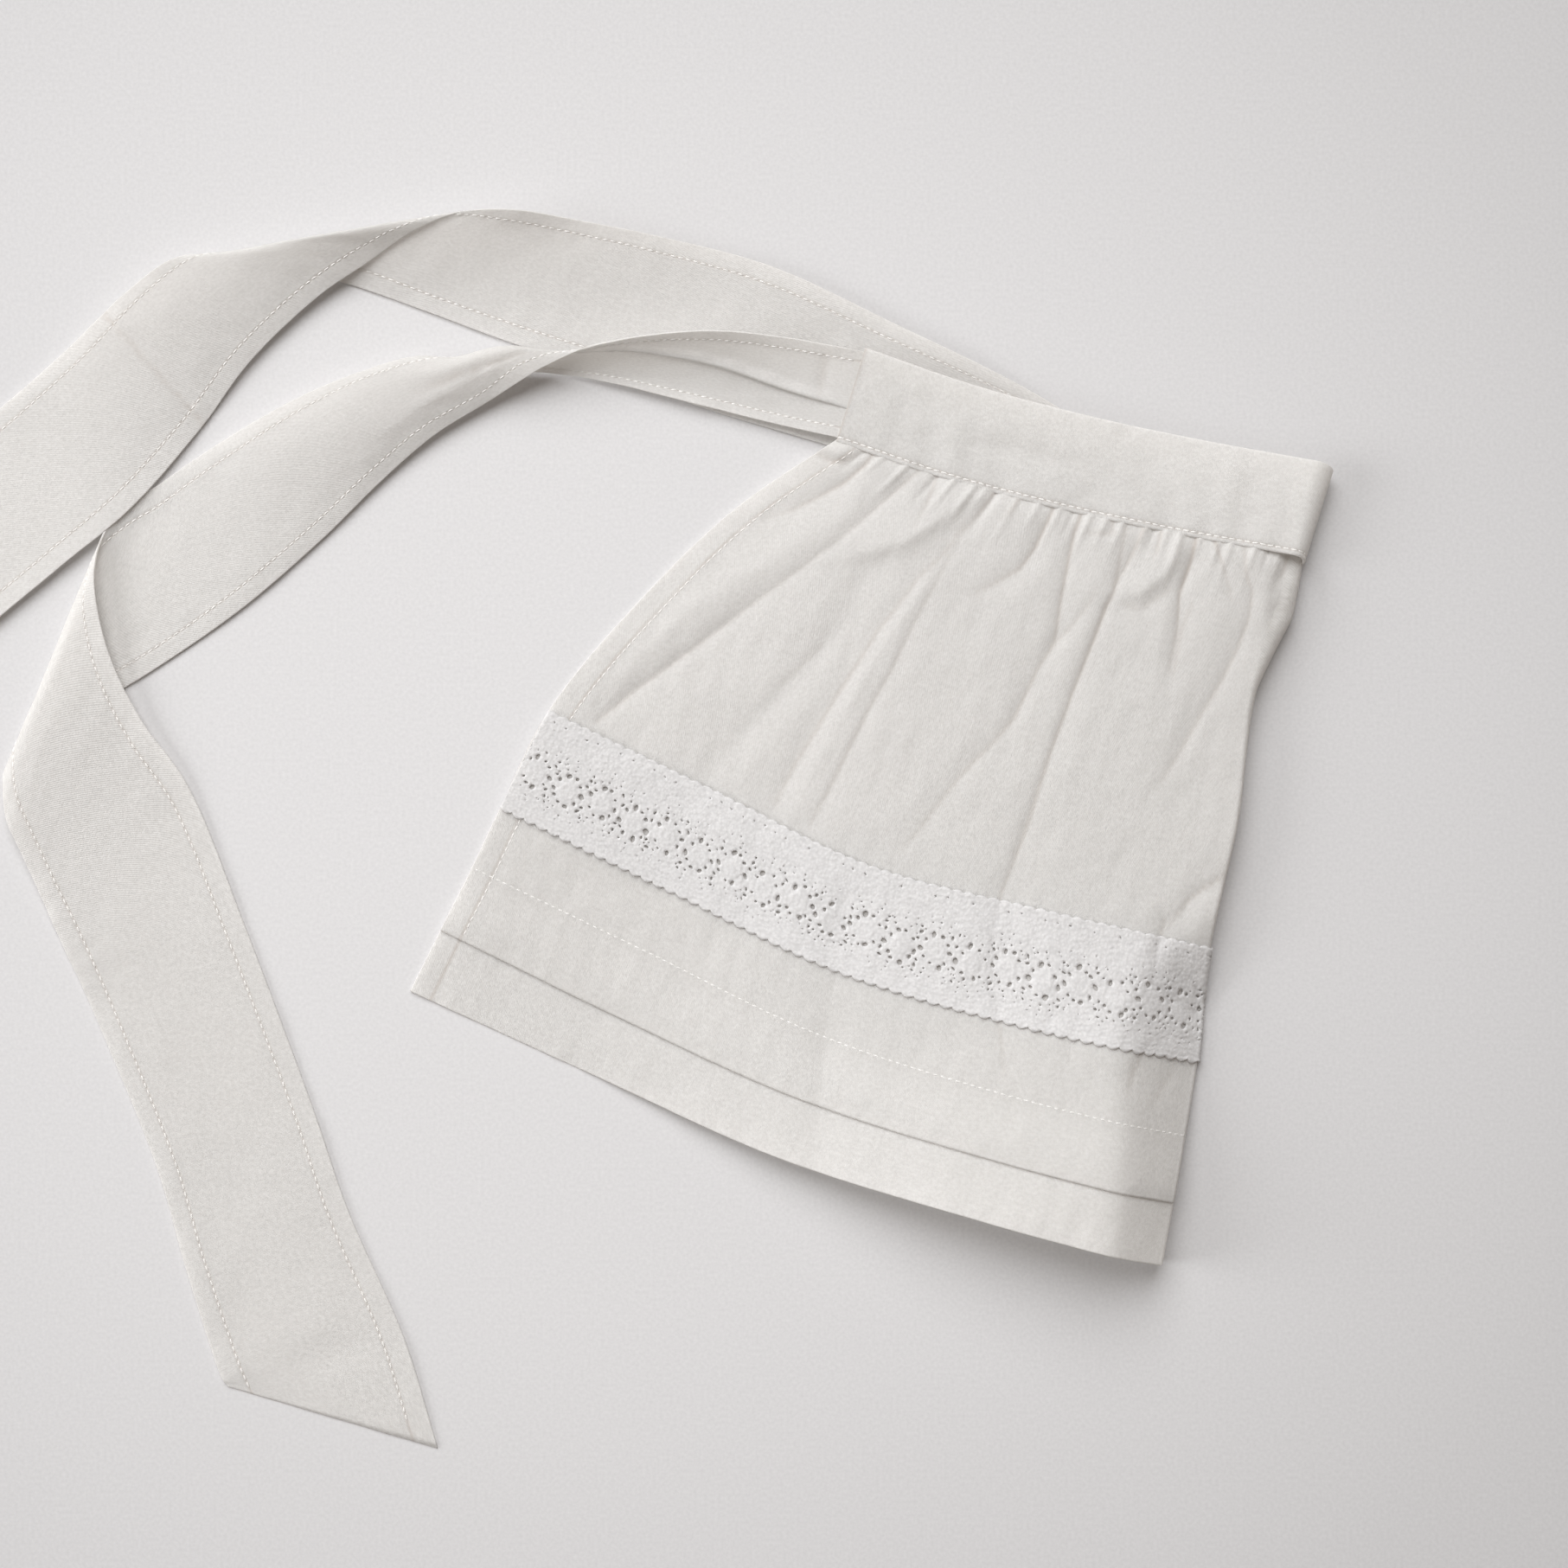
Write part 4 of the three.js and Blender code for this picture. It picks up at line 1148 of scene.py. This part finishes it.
sewn_row = int(np.argmin(np.abs(band_rise - BAND_STITCH_LINE)))
sewn_front = slice(0, first_fold + FOLD_COLUMNS // 2)
sewn_up = band_normals[sewn_row, sewn_front]
sewn_face = band_grid[sewn_row, sewn_front] + sewn_up * band_half[sewn_row, sewn_front, None]
band_stitches = stitch_bars("waistband_stitches", sewn_face, sewn_up, BAND_STITCH_PROUD)

side_rows = row_at(np.linspace(SIDE_STITCH_END, TUCK_EDGE - SIDE_STITCH_END, SIDE_SAMPLES))
front_columns = np.arange(first_fold)
side_columns = [np.interp(SIDE_HEM - SIDE_STITCH_INSET, from_side[int(row), :first_fold], front_columns)
                for row in side_rows]
side_line, side_up, _ = on_skirt(np.array(side_columns), side_rows)
side_stitches = stitch_bars("side_hem_stitches", side_line, side_up, HEMMED + STITCH_PROUD)

tuck_columns = np.linspace(TUCK_FIRST_COLUMN, first_fold + FOLD_COLUMNS // 2, TUCK_SAMPLES)
tuck_line, tuck_up, _ = on_skirt(tuck_columns, np.full(TUCK_SAMPLES, row_at(TUCK_SEAM)))
tuck_stitches = stitch_bars("tuck_stitches", tuck_line, tuck_up, ONE_LAYER + STITCH_PROUD)


def tie_stitches(name, grid, normals):
    near = int(np.argmin(np.abs(hem_places - (TIE_HEM - STITCH_INSET))))
    far = len(grid) - 1 - near
    return [stitch_bars(f"{name}_{side}", grid[place, TIE_STITCHED], normals[place, TIE_STITCHED],
                        HEMMED + STITCH_PROUD)
            for side, place in (("low", near), ("high", far))]


front_stitches = tie_stitches("front_tie_stitches", front_grid, front_normals)
back_stitches = tie_stitches("back_tie_stitches", back_grid, back_normals)

# Stage, in metres: a pale surface, a wide soft light from the photo's top and a weak low one from its left
FLOOR_SIZE = 6.0
FLOOR_LOW = (0.64, 0.632, 0.638)
FLOOR_HIGH = (0.778, 0.77, 0.776)
# Painted light on the floor: its colour darkens away from a painted pool of light centred a little west of
# the middle
PAINTED_LIGHT_RADIUS = 0.5
PAINTED_LIGHT_WEST = 0.05
PAINTED_LIGHT_FALL = [(0.0, 0.70), (0.31, 0.84), (0.51, 0.92), (0.66, 0.965), (1.0, 1.0)]
LIGHT_COLOUR = (0.98, 0.99, 1.0)
WORLD_COLOUR = (1.0, 0.89, 0.79)
WORLD_STRENGTH = 0.215

photo_x = float(-LAY_CENTRE[0] * MM)
photo_y = float(-LAY_CENTRE[1] * MM)
bpy.ops.mesh.primitive_plane_add(size=FLOOR_SIZE, location=(0, 0, 0))
floor = bpy.context.object
floor.name = "floor"
paper, paper_shader = new_material("pale_surface", roughness=0.85, specular=0.2)
paper_place = {"Vector": add_node(paper, "TexCoord", {}, {}).outputs["Object"]}
paper_grain = add_node(paper, "TexNoise", {"Scale": 900.0}, paper_place)
# The floor's grain colour is multiplied by the painted pool of light, darker towards the edges
painted_light_middle = ((PAINTED_LIGHT_WEST - photo_x) / PAINTED_LIGHT_RADIUS, -photo_y / PAINTED_LIGHT_RADIUS, 0)
painted_light_spread = add_node(paper, "Mapping", {"Location": painted_light_middle, "Scale": (1 / PAINTED_LIGHT_RADIUS,) * 3},
                       paper_place)
painted_light_pool = add_node(paper, "TexGradient", {}, {"Vector": painted_light_spread.outputs["Vector"]},
                gradient_type="SPHERICAL")
painted_light_stops = [(position, (level,) * 3) for position, level in PAINTED_LIGHT_FALL]
paper_grain_and_painted_light = add_node(paper, "Mix", {"Factor": 1.0},
                     {"A": ramp(paper, paper_grain.outputs["Fac"], [(0.0, FLOOR_LOW), (1.0, FLOOR_HIGH)]),
                      "B": ramp(paper, painted_light_pool.outputs["Fac"], painted_light_stops, "B_SPLINE")},
                     data_type="RGBA", blend_type="MULTIPLY")
connect(paper, paper_shader, {"Base Color": paper_grain_and_painted_light.outputs["Result"]})
floor.data.materials.append(paper)


def area_light(name, bearing, rise, distance, size, energy):
    """A round light that faces the middle of the photo, from a bearing and a rise in degrees."""
    flat_reach = distance * math.cos(math.radians(rise))
    data = bpy.data.lights.new(name, "AREA")
    data.shape = "DISK"
    data.size = size
    data.energy = energy
    data.color = LIGHT_COLOUR
    light = bpy.data.objects.new(name, data)
    light.location = (photo_x + flat_reach * math.cos(math.radians(bearing)),
                      photo_y + flat_reach * math.sin(math.radians(bearing)),
                      distance * math.sin(math.radians(rise)))
    light.rotation_euler = (math.radians(90 - rise), 0, math.radians(bearing + 90))
    bpy.context.scene.collection.objects.link(light)


area_light("key_light", bearing=102.0, rise=48.0, distance=5.0, size=5.0, energy=283.0)
area_light("side_light", bearing=180.0, rise=22.0, distance=2.6, size=1.45, energy=39.5)

world = bpy.data.worlds.new("studio")
world.use_nodes = True
sky = world.node_tree.nodes["Background"]
sky.inputs["Color"].default_value = (*WORLD_COLOUR, 1)
sky.inputs["Strength"].default_value = WORLD_STRENGTH
bpy.context.scene.world = world
bpy.context.scene.view_settings.view_transform = "Standard"

lens = bpy.data.cameras.new("overhead")
lens.sensor_width = SENSOR
lens.lens = SENSOR * CAMERA_HEIGHT / (PHOTO_SIZE * PHOTO_PIXEL)
camera = bpy.data.objects.new("overhead", lens)
camera.location = (photo_x, photo_y, CAMERA_HEIGHT * MM)
bpy.context.scene.collection.objects.link(camera)
bpy.context.scene.camera = camera

# Each piece goes on the root body, and the model part it stands for is hidden
for piece, node, slot in ((skirt, "skirt_panel", "cotton_drill"), (band, "waistband", "cotton_drill"),
                          (front_tie, "front_tie", "cotton_drill"), (back_tie, "back_tie", "cotton_drill"),
                          (lace, "lace_band", "cotton_lace")):
    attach(piece, "root")
    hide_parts(node)
for piece in (band_stitches, side_stitches, tuck_stitches, *front_stitches, *back_stitches):
    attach(piece, "root")
